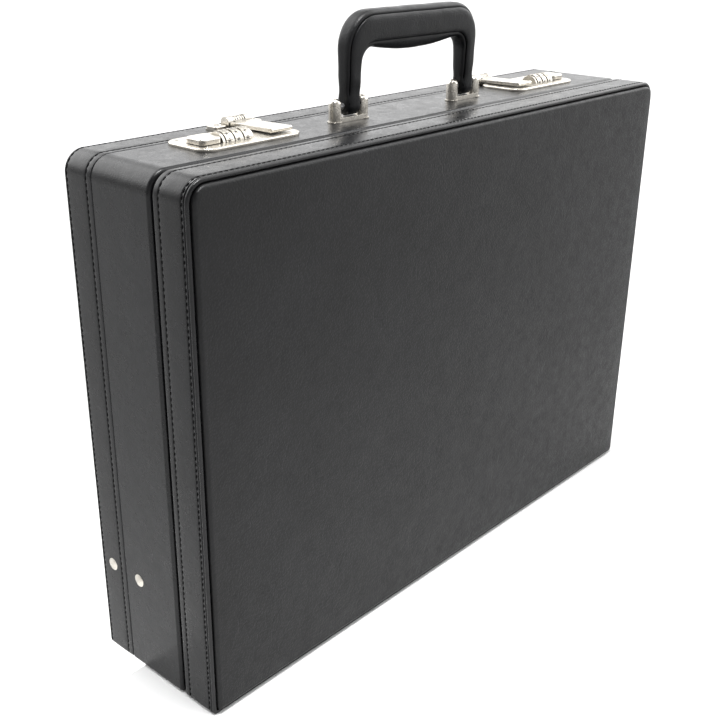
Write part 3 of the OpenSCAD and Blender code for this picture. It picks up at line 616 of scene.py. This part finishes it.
def lines(low, high, near, pitch):
    """Grid lines between two edges: close together near both, about pitch apart between."""
    left = [low + n for n in near]
    right = [high - n for n in reversed(near)]
    n = int(round((right[0] - left[-1]) / pitch))
    return np.array(left + [left[-1] + (right[0] - left[-1]) * i / n for i in range(1, n)] + right)


def rounded(x, z, half, low, high, r_top, r_foot):
    """Moves grid points of a rectangle so that its corners become round."""
    x, z = x.copy(), z.copy()
    for r, top in ((r_top, True), (r_foot, False)):
        cz = high - r if top else low + r
        up = (z - cz) if top else (cz - z)
        for side in (-1, 1):
            cx = side * (half - r)
            out = (x - cx) * side
            inside = (out > 0) & (up > 0)
            a, b = np.clip(out / r, 0, 1), np.clip(up / r, 0, 1)
            new_a, new_b = a * np.sqrt(1 - b * b / 2), b * np.sqrt(1 - a * a / 2)
            x = np.where(inside, cx + side * new_a * r, x)
            z = np.where(inside, cz + (1 if top else -1) * new_b * r, z)
            up = (z - cz) if top else (cz - z)
    return x, z


def blown_up(piece, held, cap, facing, rest):
    """How far each point rises and slides in a short cloth simulation under pressure, both capped."""
    group = piece.vertex_groups.new(name="held")
    group.add(held, 1.0, "REPLACE")
    cloth = piece.modifiers.new("Cloth", "CLOTH")
    setting = cloth.settings
    setting.quality = 5
    setting.mass = 0.3
    setting.tension_stiffness = setting.compression_stiffness = 15
    setting.shear_stiffness = 5
    setting.bending_stiffness = 0.6
    setting.vertex_group_mass = "held"
    setting.use_pressure = True
    setting.uniform_pressure_force = 4.0
    setting.effector_weights.gravity = 0.0
    cloth.collision_settings.use_collision = False
    scene = bpy.context.scene
    scene.frame_start, scene.frame_end = 1, CLOTH_FRAMES
    cloth.point_cache.frame_start, cloth.point_cache.frame_end = 1, CLOTH_FRAMES
    for frame_number in range(1, CLOTH_FRAMES + 1):
        scene.frame_set(frame_number)
    shape = piece.evaluated_get(bpy.context.evaluated_depsgraph_get())
    moved = np.array([v.co for v in shape.data.vertices], float) / MM
    piece.modifiers.remove(cloth)
    scene.frame_set(1)
    shift = moved - rest
    rise = np.clip(shift[:, 1] * facing, 0, None)
    rise = cap * (1 - np.exp(-rise / cap))
    return rise, np.clip(shift[:, [0, 2]], -SLIDE_CAP, SLIDE_CAP)


CLOTH_FRAMES = 14
SLIDE_CAP = 0.4
HELD_RIM = 1.5


def panel(name, low, high, facing, r_top, r_foot, edge_r, cap, body, node, seed):
    """A foam-padded leather panel: a board with a rounded rim, blown up while it is held at its rim."""
    half = (high[0] - low[0]) / 2
    near = [0.0, 0.35, 0.8, 1.4, 2.1, 3.2, 4.8, 7.0, r_top]
    xs = lines(-half, half, near, 5.0)
    zs = lines(low[2], high[2], near, 5.0)
    gx, gz = np.meshgrid(xs, zs, indexing="ij")
    inset = np.minimum(np.minimum(gx + half, half - gx), np.minimum(gz - low[2], high[2] - gz))
    px, pz = rounded(gx, gz, half, low[2], high[2], r_top, r_foot)
    y_rest, y_face = (high[1], low[1]) if facing < 0 else (low[1], high[1])
    t = np.clip(inset / edge_r, 0, 1)
    drop = edge_r * (1 - np.sqrt(1 - (1 - t) ** 2))
    py = y_face - facing * drop
    nx, nz = gx.shape
    front = np.stack([px, py, pz], axis=-1).reshape(-1, 3)
    back = np.stack([px, np.full_like(px, y_rest), pz], axis=-1).reshape(-1, 3)
    points = np.vstack([front, back])
    piece = make(name, points, sheet_faces(nx, nz), PANEL, body)
    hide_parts(node)
    mesh = piece.data
    rest = points.copy()
    count = nx * nz
    soft = smooth_step((inset.reshape(-1) - 0.9) / 7.0)
    held = [int(i) for i in range(count) if inset.reshape(-1)[i] < HELD_RIM]
    rise, slide = blown_up(piece, held + list(range(count, 2 * count)), cap, facing, rest)
    moved = rest.copy()
    moved[:count, 1] += facing * rise[:count]
    moved[:count, [0, 2]] += slide[:count] * soft[:, None]
    uneven = lumps(moved[:count, 0], np.zeros(count), moved[:count, 2], 70.0, seed)
    fine = lumps(moved[:count, 0], np.zeros(count), moved[:count, 2], 17.0, seed + 4)
    moved[:count, 1] += facing * (0.18 * uneven + 0.05 * fine) * soft
    mesh.vertices.foreach_set("co", (moved * MM).astype(np.float32).ravel())
    mesh.update()
    finer = piece.modifiers.new("finer", "SUBSURF")
    finer.levels = finer.render_levels = 1
    finer.boundary_smooth = "PRESERVE_CORNERS"
    shape = piece.evaluated_get(bpy.context.evaluated_depsgraph_get())
    smooth = bpy.data.meshes.new_from_object(shape)
    piece.modifiers.clear()
    piece.data = smooth
    smooth.shade_smooth()
    smooth.set_sharp_from_angle(angle=math.radians(60))
    return piece


low, high = box("expander_panel")
panel("front_panel", low, high, -1, TOP_TURN - 2.8, 1.8, 2.4, 1.1, "expander", "expander_panel", 2.0)
low, high = box("lid_panel")
panel("back_panel", low, high, 1, TOP_TURN - 4.0, 1.8, 2.0, 1.0, "lid", "lid_panel", 6.0)


# ---------------------------------------------------------------- handle


# the rounded foot's radius, the depth gained in the leg and in the grip, and how far the underside hangs
FOOT, LEG_GAIN, GRIP_GAIN = 5.7, 0.8, 1.5
BELLY, BELLY_R = 3.9, 240.0
# the underside's height above the case, how square the section is, and the seams' width and depth
WINDOW_RISE, SQUARENESS = 42.5, 3.5
SEAM_HALF, SEAM_DEPTH, SEAM_HOLLOW, HOLLOW_DEPTH = 0.5, 0.85, 1.9, 0.4


def handle_lines(count):
    """Outer and inner edge of the handle's front view, from the left foot over the grip to the right foot."""
    low, high = box("handle_cover")
    half, top = high[0], high[2]
    leg, turn, inner_turn = 12.0, 22.0, 10.0
    pivot = low[2] + FOOT
    window = base_high[2] + WINDOW_RISE
    inner_x = half - leg

    def path(points):
        points = np.array(points)
        run = np.concatenate([[0], np.cumsum(np.linalg.norm(np.diff(points, axis=0), axis=1))])
        return points, run

    def turn_points(cx, cz, r, a0, a1, n):
        return [(cx + r * math.cos(math.radians(a0 + (a1 - a0) * i / n)),
                 cz + r * math.sin(math.radians(a0 + (a1 - a0) * i / n))) for i in range(n + 1)]

    left_out = [(-half, pivot), *turn_points(turn - half, top - turn, turn, 180, 90, 24), (0, top)]
    left_in = [(-inner_x, pivot)]
    left_in += turn_points(inner_turn - inner_x, window - inner_turn, inner_turn, 180, 90, 18)
    left_in += [(x, window) for x in np.linspace(inner_turn - inner_x, 0, 22)[1:]]
    # the same share of length on each line, tied at the corner so that sections stay square to the grip
    out_pts, out_run = path(left_out)
    in_pts, in_run = path(left_in)
    out_ties = [0.0, out_run[1], out_run[25], out_run[-1]]
    in_ties = [0.0, in_run[1] - 2.0, in_run[19] + 4.0, in_run[-1]]
    shares = np.array([0.0, 0.30, 0.62, 1.0])
    t = np.linspace(0, 1, count)
    out_at, in_at = np.interp(t, shares, out_ties), np.interp(t, shares, in_ties)
    kernel = np.hanning(15)
    kernel /= kernel.sum()

    def eased(v):
        pad = np.concatenate([2 * v[0] - v[7:0:-1], v, 2 * v[-1] - v[-2:-9:-1]])
        return np.convolve(pad, kernel, "valid")

    out_at, in_at = eased(out_at), eased(in_at)
    outer = np.stack([np.interp(out_at, out_run, out_pts[:, k]) for k in (0, 1)], axis=-1)
    inner = np.stack([np.interp(in_at, in_run, in_pts[:, k]) for k in (0, 1)], axis=-1)
    mirror = np.array([-1.0, 1.0])
    return (*(np.vstack([line, (line * mirror)[-2::-1]]) for line in (outer, inner)), pivot)


def smooth_line(points, times):
    points = points.copy()
    for _ in range(times):
        points[1:-1] = 0.5 * points[1:-1] + 0.25 * (points[:-2] + points[2:])
    return points


def handle():
    """The stuffed handle cover: four leather faces that meet in sunken seams, thick at the grip."""
    low, high = box("handle_cover")
    middle_y = (low[1] + high[1]) / 2
    outer, inner, pivot = handle_lines(120)
    outer, inner = smooth_line(outer, 3), smooth_line(inner, 3)
    # the drop below the pivot round each foot, as an angle, and 0 for the sections above it
    drops = np.radians(np.linspace(88, 8, 9))
    rows = [(outer[0], inner[0], a) for a in drops]
    rows += [(o, i, 0.0) for o, i in zip(outer, inner)]
    rows += [(outer[-1], inner[-1], a) for a in drops[::-1]]
    section = 104
    angle = np.arange(section) * 2 * math.pi / section
    c, s = np.cos(angle), np.sin(angle)
    u = np.sign(c) * np.abs(c) ** (2 / SQUARENESS)
    v = np.sign(s) * np.abs(s) ** (2 / SQUARENESS)
    from_under = np.abs(np.angle(np.exp(1j * (angle - math.pi)))) / (math.pi / 4)
    stations = []
    for o, i, a in rows:
        o, i = o.copy(), i.copy()
        rise = (o[1] + i[1]) / 2 - pivot
        if a:
            o[1] = i[1] = pivot - FOOT * math.sin(a)
            deep, fade, belly = FOOT * math.cos(a), 0.0, 0.0
            shrink = 1 - 0.3 * (a / (math.pi / 2)) ** 3
            mid = (o + i) / 2
            o, i = mid + (o - mid) * shrink, mid + (i - mid) * shrink
        else:
            deep = FOOT + LEG_GAIN * float(smooth_step((rise - 7) / 9))
            deep += GRIP_GAIN * float(smooth_step((rise - 18) / 26))
            fade = float(smooth_step((rise - 3) / 5))
            hang = BELLY - BELLY_R + math.sqrt(BELLY_R ** 2 - ((o[0] + i[0]) / 2) ** 2)
            belly = max(0.0, hang) * smooth_step(1 - from_under) * (rise > 25)
        centre, reach = (o + i) / 2, (o - i) / 2
        wide = np.linalg.norm(reach)
        way = reach / max(wide, 1e-6)
        mean = (wide + deep) / 2
        pull = np.ones(section)
        for k in (1, 3, 5, 7):
            arc = np.angle(np.exp(1j * (angle - k * math.pi / 4))) * 0.9 * mean
            sunk = SEAM_DEPTH * np.exp(-((arc / SEAM_HALF) ** 2))
            pull -= fade * (sunk + HOLLOW_DEPTH * np.exp(-((arc / SEAM_HOLLOW) ** 2))) / mean
        puff = 1 + 0.018 * fade * np.cos(4 * angle)
        x = centre[0] + way[0] * wide * u * pull * puff
        zz = centre[1] + way[1] * wide * u * pull * puff - belly
        y = middle_y + deep * v * pull * puff
        stations.append(np.stack([x, y, zz], axis=-1))
    stations = np.array(stations)
    centre = stations.mean(axis=1, keepdims=True)
    bumps = lumps(stations[..., 0], stations[..., 1], stations[..., 2], 11.0, 1.5)
    away = stations - centre
    away /= np.maximum(np.linalg.norm(away, axis=-1, keepdims=True), 1e-6)
    grip_share = smooth_step((stations[..., 2] - pivot - 10) / 15)
    stations = stations + away * (0.16 * bumps * grip_share)[..., None]
    points, faces = tube(stations)
    piece = make("handle_grip", points, faces, GRIP, "handle", sharp=70)
    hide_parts("handle_cover")
    return stations


HANDLE = handle()


def bead(centre, size, turns=10, rings=6):
    """A small knot or bead, a little uneven."""
    stations = []
    for k in range(rings + 1):
        a = math.pi * (0.04 + 0.92 * k / rings)
        ring_r = math.sin(a)
        around = np.arange(turns) * 2 * math.pi / turns
        wob = 1 + 0.1 * np.cos(3 * around + k)
        stations.append(np.stack([
            centre[0] + size[0] * ring_r * np.cos(around) * wob,
            centre[1] + size[1] * ring_r * np.sin(around) * wob,
            np.full(turns, centre[2] + size[2] * math.cos(a)),
        ], axis=-1))
    return tube(stations)


knots = []
section = HANDLE.shape[1]
for spot in (section // 8, 3 * section // 8, 5 * section // 8, 7 * section // 8):
    for end in (11, HANDLE.shape[0] - 12):
        x, y, z = HANDLE[end, spot]
        knots.append(bead((x, y, z), (0.55, 0.55, 1.0)))
points, faces = joined(knots)
make("handle_knots", points, faces, THREAD, "handle", sharp=60)


# ---------------------------------------------------------------- locks


def on_both(parts_of_one):
    """The same parts at plus X and mirrored at minus X."""
    points, faces = parts_of_one
    flipped = points * np.array([-1.0, 1.0, 1.0])
    return joined([(points, faces), (flipped, [tuple(reversed(f)) for f in faces])])


def screw_head(x, y, top, radius, turn):
    """A low domed head with a cross recess."""
    rings, around = 16, 48
    dome, recess, arm_half, arm_reach = 0.3, 0.55, 0.32, 0.66
    stations = []
    for k in range(1, rings + 1):
        r = radius * k / rings
        ring = []
        for j in range(around):
            a = 2 * math.pi * j / around
            px, py = r * math.cos(a), r * math.sin(a)
            rx = px * math.cos(turn) + py * math.sin(turn)
            ry = -px * math.sin(turn) + py * math.cos(turn)
            z = top + dome * math.sqrt(max(0.0, 1 - (r / radius) ** 2 * 0.96)) - 0.02
            if r < radius * arm_reach:
                cut = float(smooth_step((arm_half - min(abs(rx), abs(ry))) / 0.12))
                z -= recess * cut * (1 - 0.5 * r / (radius * arm_reach))
            ring.append((x + px, y + py, z))
        stations.append(ring)
    stations.append([(x + radius * math.cos(2 * math.pi * j / around),
                      y + radius * math.sin(2 * math.pi * j / around), top - 0.6) for j in range(around)])
    tube_points, tube_faces = tube(np.array(stations), caps=False)
    points = np.vstack([[(x, y, stations[0][0][2] - 0.1)], tube_points])
    faces = [tuple(i + 1 for i in f) for f in tube_faces]
    faces += [(0, 1 + (j + 1) % around, 1 + j) for j in range(around)]
    return points, faces


plate_low, _ = box("lock_plate_right")
plate_top = base_high[2] + 1.8
screws = []
for i, x in enumerate((plate_low[0] + 3.7, plate_low[0] + 68.5)):
    for j, y in enumerate((plate_low[1] + 4.0, plate_low[1] + 31.0)):
        screws.append(screw_head(x, y, plate_top - 0.15, 1.8, 0.5 + 1.3 * i + 0.7 * j))
points, faces = on_both(joined(screws))
screw_piece = make("lock_screw_heads", points, faces, NICKEL, "base", sharp=40)
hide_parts("lock_screws")


def digit_piece(dial, body):
    """The ten numbers round one dial, wrapped on its rim between the notches."""
    low, high = box(dial)
    x = (low[0] + high[0]) / 2
    axis_y, axis_z, radius = (low[1] + high[1]) / 2, (low[2] + high[2]) / 2, (high[2] - low[2]) / 2
    tall, lift = 2.7, 0.03
    parts = []
    for k in range(10):
        letters = bpy.data.curves.new("digit", "FONT")
        letters.body = str(k)
        letters.align_x, letters.align_y = "CENTER", "CENTER"
        letters.size = 1.0
        holder = bpy.data.objects.new("digit", letters)
        bpy.context.scene.collection.objects.link(holder)
        shape = holder.evaluated_get(bpy.context.evaluated_depsgraph_get())
        mesh = bpy.data.meshes.new_from_object(shape)
        flat = np.array([v.co for v in mesh.vertices], float)
        polygons = [tuple(p.vertices) for p in mesh.polygons]
        bpy.data.objects.remove(holder)
        bpy.data.meshes.remove(mesh)
        bpy.data.curves.remove(letters)
        flat[:, 0] -= (flat[:, 0].min() + flat[:, 0].max()) / 2
        flat[:, 1] -= (flat[:, 1].min() + flat[:, 1].max()) / 2
        flat *= tall / (flat[:, 1].max() - flat[:, 1].min())
        a = math.radians(90 - 36 * k) + flat[:, 1] / radius
        r = radius + lift
        parts.append((np.stack([x + flat[:, 0], axis_y + r * np.cos(a), axis_z + r * np.sin(a)], axis=-1),
                      polygons))
    points, faces = joined(parts)
    make(f"{body}_numbers", points, faces, INK, body, sharp=60)


for side in ("left", "right"):
    for which in ("outer", "middle", "inner"):
        digit_piece(f"dial_{side}_{which}", f"dial_{side}_{which}")


# ---------------------------------------------------------------- lid pockets


def sheet_piece(gx, gz, gy, thick):
    """Points and faces of a thin closed sheet over a grid, gy its front face."""
    front = np.stack([gx, gy, gz], axis=-1).reshape(-1, 3)
    back = np.stack([gx, gy + thick, gz], axis=-1).reshape(-1, 3)
    return np.vstack([front, back]), sheet_faces(*gx.shape)


def seam(points_line, pitch=3.4, length=2.3):
    """Stitches along an open line of points on a face towards -Y."""
    thick, sink, proud = 0.22, 0.36, 0.08
    line = np.asarray(points_line, float)
    steps = np.linalg.norm(np.diff(line, axis=0), axis=1)
    run = np.concatenate([[0], np.cumsum(steps)])
    count = max(1, int(run[-1] / pitch))
    pitch = run[-1] / count
    out = np.array((0.0, -1.0, 0.0))
    parts = []
    for k in range(count):
        at = (k + 0.5) * pitch + SPOTS * length / 2
        mid = np.stack([np.interp(at, run, line[:, i]) for i in range(3)], axis=-1)
        along = mid[-1] - mid[0]
        along /= np.linalg.norm(along)
        outs = np.broadcast_to(out, (len(SPOTS), 3))
        parts.append(stitch(mid + out * proud, outs, np.cross(along, out), sink, thick))
    return joined(parts)


pocket_low, pocket_high = box("lid_pocket")
loop_low, loop_high = box("pen_loops")
card_low, card_high = box("card_pockets")
sew = []

# The document pocket: a leather front on a pleated gusset, its top edge turned over and slightly slack.
HEM, HEM_ROW, SLACK, POUCH, POCKET_SKIN = 9.6, 8.4, 2.4, 1.6, 1.1
xs = np.linspace(pocket_low[0], pocket_high[0], 121)
near_top = np.array([11, 10.4, 9.8, 9.2, 6, 3, 1.2, 0.4, 0.0])
zs = np.concatenate([np.linspace(pocket_low[2], pocket_high[2] - 12, 52), pocket_high[2] - near_top])
gx, gz = np.meshgrid(xs, zs, indexing="ij")
across_share = np.clip(1 - (gx / pocket_high[0]) ** 2, 0, 1)
up_share = (gz - pocket_low[2]) / (pocket_high[2] - pocket_low[2])
pouch = POUCH * across_share ** 0.6 * np.sin(np.clip(up_share, 0, 1) * math.pi * 0.62) ** 0.8
wave = 0.25 * lumps(gx, np.zeros_like(gx), gz, 42.0, 11.0) * np.clip(across_share * 3, 0, 1)
hem = 0.5 * smooth_step((gz - (pocket_high[2] - HEM)) / 0.6)
row_dip = 0.22 * np.exp(-((gz - (pocket_high[2] - HEM_ROW)) / 0.5) ** 2)
sag = SLACK * across_share * smooth_step((up_share - 0.6) / 0.4)
side_round = 0.5 * np.exp(-(pocket_high[0] - np.abs(gx)) / 0.7)
edge_round = side_round + 0.5 * np.exp(-(gz - pocket_low[2]) / 0.7)
gy = pocket_low[1] - 0.1 - pouch * 0.75 - wave - hem + row_dip + edge_round


def front_y(x, z):
    """The pocket front's face at a point."""
    i = np.clip(np.searchsorted(xs, x), 0, len(xs) - 1)
    j = np.clip(np.searchsorted(zs, z), 0, len(zs) - 1)
    return gy[i, j]


def gusset(line, inward, n=9):
    """A pleated strip from the pocket's edge back to the lid lining, along a line of (x, z) points."""
    skin = 0.9
    depth = np.linspace(pocket_low[1] + 0.5, pocket_high[1] - 0.05, n)
    pleat = 1.5 * np.sin(np.linspace(0, math.pi, n)) + 0.3
    outer, inner = (
        np.array([[(x + inward[0] * (p + more), y, z + inward[1] * (p + more)) for p, y in zip(pleat, depth)]
                  for x, z in line])
        for more in (0.0, skin))
    return tube(np.concatenate([outer, inner[:, ::-1]], axis=1))


left_x, right_x = pocket_low[0] + 0.2, pocket_high[0] - 0.2
side_z = np.linspace(pocket_low[2] + 0.4, pocket_high[2] - 2, 60)
points, faces = joined([
    sheet_piece(gx, gz - sag, gy, POCKET_SKIN),
    gusset([(left_x, z) for z in side_z], (1, 0)),
    gusset([(right_x, z) for z in side_z], (-1, 0)),
    gusset([(x, pocket_low[2] + 0.3) for x in np.linspace(left_x, right_x, 80)], (0, 1)),
])
pocket = make("document_pocket", points, faces, POCKET, "lid", sharp=50)
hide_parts("lid_pocket")
for x in (left_x + 3.2, right_x - 3.2):
    sew.append(seam([(x, front_y(x, z), z) for z in np.linspace(pocket_low[2] + 4, pocket_high[2] - 4, 60)]))
row_x = np.linspace(left_x + 4, right_x - 4, 120)
z = pocket_low[2] + 3.4
sew.append(seam([(x, front_y(x, z), z) for x in row_x]))
z = pocket_high[2] - HEM_ROW
sew.append(seam([(x, front_y(x, z), z - SLACK * (1 - (x / pocket_high[0]) ** 2)) for x in row_x]))

# Two card pockets, each of three stepped leather pieces with rounded upper corners.
CARD_WIDTH, CARD_STEP, CARD_TURN, CARD_SLACK, CARD_SEAM = 95.0, 13.0, 4.0, 1.1, 1.8


def card_slot(start, step):
    """One piece of a card pocket, the highest at step 0 and the foremost at 2. Adds its seams."""
    lowest = step == 2
    top = card_high[2] - CARD_STEP * step
    base = card_low[2] + (0.0 if lowest else 2.0)
    out = 0.75 * (step + 1)
    near = np.array([0, 0.5, 1.5, 3, 5])
    cx = start + np.concatenate([near, np.linspace(8, CARD_WIDTH - 8, 22), CARD_WIDTH - near[::-1]])
    up = np.concatenate([np.linspace(0, 0.9, 14), [0.94, 0.97, 0.99, 1.0]])
    arch = np.sin(math.pi * (cx - start) / CARD_WIDTH)
    near_end = np.clip(CARD_TURN - np.minimum(cx - start, start + CARD_WIDTH - cx), 0, CARD_TURN)
    tops = top - (CARD_TURN - np.sqrt(np.clip(CARD_TURN ** 2 - near_end ** 2, 0, None)))
    tops = tops - CARD_SLACK * arch
    kx = np.repeat(cx[:, None], len(up), axis=1)
    kz = base + (tops[:, None] - base) * up[None, :]
    ky = np.array([[front_y(a, b) for a, b in zip(ra, rb)] for ra, rb in zip(kx, kz)])
    ky = ky - out - 0.35 * arch[:, None] * up[None, :] + 0.3 * np.exp(-(tops[:, None] - kz) / 0.6)
    for side_x in (start + CARD_SEAM, start + CARD_WIDTH - CARD_SEAM):
        column = np.argmin(np.abs(cx - side_x))
        reach = [j for j in range(len(up) - 1) if (j > 0 if lowest else kz[column, j] > top - 12)]
        sew.append(seam([(side_x, ky[column, j], kz[column, j]) for j in reach], pitch=3.0, length=2.0))
    if lowest:
        foot = [(a, ky[i, 0], base + 2.2) for i, a in enumerate(cx) if 3 < i < len(cx) - 4]
        sew.append(seam(foot, pitch=3.0, length=2.0))
    return sheet_piece(kx, kz, ky, out + 0.3 if lowest else 0.7)


points, faces = joined([card_slot(start, step)
                        for start in (card_low[0], card_high[0] - CARD_WIDTH) for step in range(3)])
cards = make("card_slots", points, faces, POCKET, "lid", sharp=50)
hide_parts("card_pockets")

# Two pen loops: a leather strip bowed out between two sewn tabs.
LOOP_R, LOOP_SHEET, TAB = 5.2, 1.0, 5.5


def pen_loop(cx):
    """One loop round the line at cx. Adds the seams of its tabs."""
    ends = np.array([0.0, 0.3, 1.0])
    middle = np.linspace(loop_low[2] + 3, loop_high[2] - 3, 10)
    stations = []
    for z in np.concatenate([loop_low[2] + ends, middle, loop_high[2] - ends[::-1]]):
        flat_y = front_y(cx, z) - 0.1
        lip = 0.25 * (math.exp(-(z - loop_low[2]) / 0.5) + math.exp(-(loop_high[2] - z) / 0.5))
        squash = 1 + 0.03 * math.sin((z - loop_low[2]) * 0.5)
        outer, inner = (
            [(cx + r * math.cos(a), flat_y + r * math.sin(a) * 0.97 * squash, z)
             for a in np.radians(np.linspace(180, 360, 25))][1:-1]
            for r in (LOOP_R + LOOP_SHEET - lip, LOOP_R + lip * 0.5))
        left_tab = [(cx - LOOP_R - TAB, flat_y - 0.85, z), (cx - LOOP_R - 2.0, flat_y - 0.95, z)]
        right_tab = [(cx + LOOP_R + 2.0, flat_y - 0.95, z), (cx + LOOP_R + TAB, flat_y - 0.85, z)]
        under = [(cx + side * (LOOP_R + TAB), flat_y + 0.15, z) for side in (1, -1)]
        stations.append(left_tab + outer + right_tab + under[:1] + inner[::-1] + under[1:])
    for side in (-1, 1):
        row = np.linspace(loop_low[2] + 1, loop_high[2] - 1, 8)
        line = [(cx + side * (LOOP_R + 3.6), front_y(cx, z) - 1.0, z) for z in row]
        sew.append(seam(line, pitch=2.8, length=1.9))
    return tube(np.array(stations))


reach = LOOP_R + LOOP_SHEET
points, faces = joined([pen_loop(cx) for cx in (loop_low[0] + reach, loop_high[0] - reach)])
loops = make("pen_holders", points, faces, POCKET, "lid", sharp=50)
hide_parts("pen_loops")
points, faces = joined(sew)
make("pocket_stitches", points, faces, DARK_THREAD, "lid", sharp=60)


# ---------------------------------------------------------------- carried-over frame

for row in frame["record"]["subparts"]:
    dress(row["node"], SLOT_LOOK[row["material_slot"]])


# ---------------------------------------------------------------- studio


def floor():
    """A pale floor with a step down behind the case, where the opened lid can hang from its hinge."""
    reach, step_y, drop, turn = 6000.0, 18.0, 90.0, 2.0
    side = [(y, 0.0) for y in (-reach, -1500.0, -400.0, step_y - turn)]
    side += [(step_y - turn + turn * math.sin(a), turn * (math.cos(a) - 1))
             for a in np.radians((22.5, 45.0, 67.5, 90.0))]
    side += [(step_y, -drop)] + [(y, -drop) for y in (400.0, 1500.0, reach)]
    lines_x = (-reach, -1500.0, 0.0, 1500.0, reach)
    stations = [[(x, y, z) for y, z in side] for x in lines_x]
    points, faces = tube(stations, closed_section=False, caps=False)
    mesh = bpy.data.meshes.new("floor")
    mesh.from_pydata([tuple(p) for p in points * MM], [], faces)
    mesh.materials.append(studio_floor())
    piece = bpy.data.objects.new("floor", mesh)
    bpy.context.scene.collection.objects.link(piece)


floor()


def toward(bearing, height):
    """The direction at a bearing in degrees whose upward share is height."""
    flat = math.sqrt(1 - height ** 2)
    return (flat * math.cos(math.radians(bearing)), flat * math.sin(math.radians(bearing)), height)


def world():
    """A white studio: a glow above the horizon, brighter on one side, and two soft windows higher up."""
    sky = bpy.data.worlds.new("studio")
    bpy.context.scene.world = sky
    sky.use_nodes = True
    tree = sky.node_tree
    tree.nodes.clear()

    def node(kind, operation=None, *sources):
        made = tree.nodes.new("ShaderNode" + kind)
        if operation:
            made.operation = operation
        for k, source in enumerate(sources):
            if isinstance(source, bpy.types.NodeSocket):
                tree.links.new(source, made.inputs[k])
            else:
                made.inputs[k].default_value = source
        return made

    way = node("TexCoord").outputs["Generated"]
    height = node("SeparateXYZ", None, way).outputs["Z"]
    glow = node("ValToRGB", None, height)
    stops = glow.color_ramp.elements
    while len(stops) < len(GLOW):
        stops.new(0.5)
    for stop, (place, value) in zip(stops, GLOW):
        stop.position, stop.color = place, (*(value / GLOW_GAIN,) * 3, 1)
    facing = node("VectorMath", "DOT_PRODUCT", way, toward(GLOW_BEARING, 0.0)).outputs["Value"]
    half = (1 - GLOW_BACK) / 2
    side = node("Math", "MULTIPLY_ADD", facing, half, GLOW_BACK + half).outputs[0]
    shade = node("VectorMath", "SCALE", glow.outputs[0])
    tree.links.new(side, shade.inputs["Scale"])
    total = node("VectorMath", "SCALE", shade.outputs[0])
    total.inputs["Scale"].default_value = GLOW_GAIN
    for bearing, rise, gain in WINDOWS:
        near = node("VectorMath", "DOT_PRODUCT", way, toward(bearing, rise)).outputs["Value"]
        spread = node("MapRange", None, near, *WINDOW_EDGE, 0.0, gain)
        spread.interpolation_type = "SMOOTHSTEP"
        total = node("VectorMath", "ADD", total.outputs[0], spread.outputs[0])
    back = node("Background", None, total.outputs[0], 1.0)
    tree.links.new(back.outputs[0], node("OutputWorld").inputs[0])


# brightness of the glow at rising heights, its brighter side, and how much of it is left opposite
GLOW = ((0.0, 1.4), (0.15, 2.2), (0.35, 2.4), (0.65, 0.3), (1.0, 0.2))
GLOW_BEARING, GLOW_BACK, GLOW_GAIN = 20, 0.22, 3.0
# each window's bearing, height and brightness, and how it fades with the cosine of the angle from its middle
WINDOWS = ((-15, 0.65, 3.2), (105, 0.65, 4.0))
WINDOW_EDGE = (0.78, 0.98)
world()


def softbox(name, place, target, size, power, spread):
    """A rectangular lamp over a place, both in metres."""
    lamp = bpy.data.lights.new(name, "AREA")
    lamp.shape = "RECTANGLE"
    lamp.size, lamp.size_y = size
    lamp.energy = power
    lamp.spread = spread
    holder = bpy.data.objects.new(name, lamp)
    bpy.context.scene.collection.objects.link(holder)
    holder.location = place
    holder.rotation_mode = "QUATERNION"
    holder.rotation_quaternion = (Vector(target) - Vector(place)).to_track_quat("-Z", "Y")


softbox("pool", (-0.12, -0.16, 1.3), (-0.12, -0.16, 0), (0.4, 0.4), 2.4, math.radians(55))

# the photograph's camera, found from the case's straight edges: angles in degrees, place in metres
AZIMUTH, ELEVATION, ROLL = -48.160, 23.060, 0.631
CAMERA_PLACE = (-0.53746, -0.43811, 0.43641)
FOCAL_PIXELS, PICTURE_PIXELS, SENSOR = 1058.46, 720, 36.0


def photo_camera():
    azimuth, elevation, roll = (math.radians(a) for a in (AZIMUTH, ELEVATION, ROLL))
    behind = Vector((math.sin(azimuth) * math.cos(elevation), -math.cos(azimuth) * math.cos(elevation),
                     math.sin(elevation)))
    right = Vector((math.cos(azimuth), math.sin(azimuth), 0.0))
    upward = behind.cross(right)
    across_axis = math.cos(roll) * right + math.sin(roll) * upward
    up_axis = -math.sin(roll) * right + math.cos(roll) * upward
    lens = bpy.data.cameras.new("photo_camera")
    lens.sensor_width = SENSOR
    lens.lens = FOCAL_PIXELS / PICTURE_PIXELS * SENSOR
    lens.clip_start, lens.clip_end = 0.02, 50.0
    camera = bpy.data.objects.new("photo_camera", lens)
    bpy.context.scene.collection.objects.link(camera)
    turned = Matrix((across_axis, up_axis, behind)).transposed().to_4x4()
    camera.matrix_world = Matrix.Translation(CAMERA_PLACE) @ turned
    bpy.context.scene.camera = camera


photo_camera()
bpy.context.scene.view_settings.view_transform = "Standard"
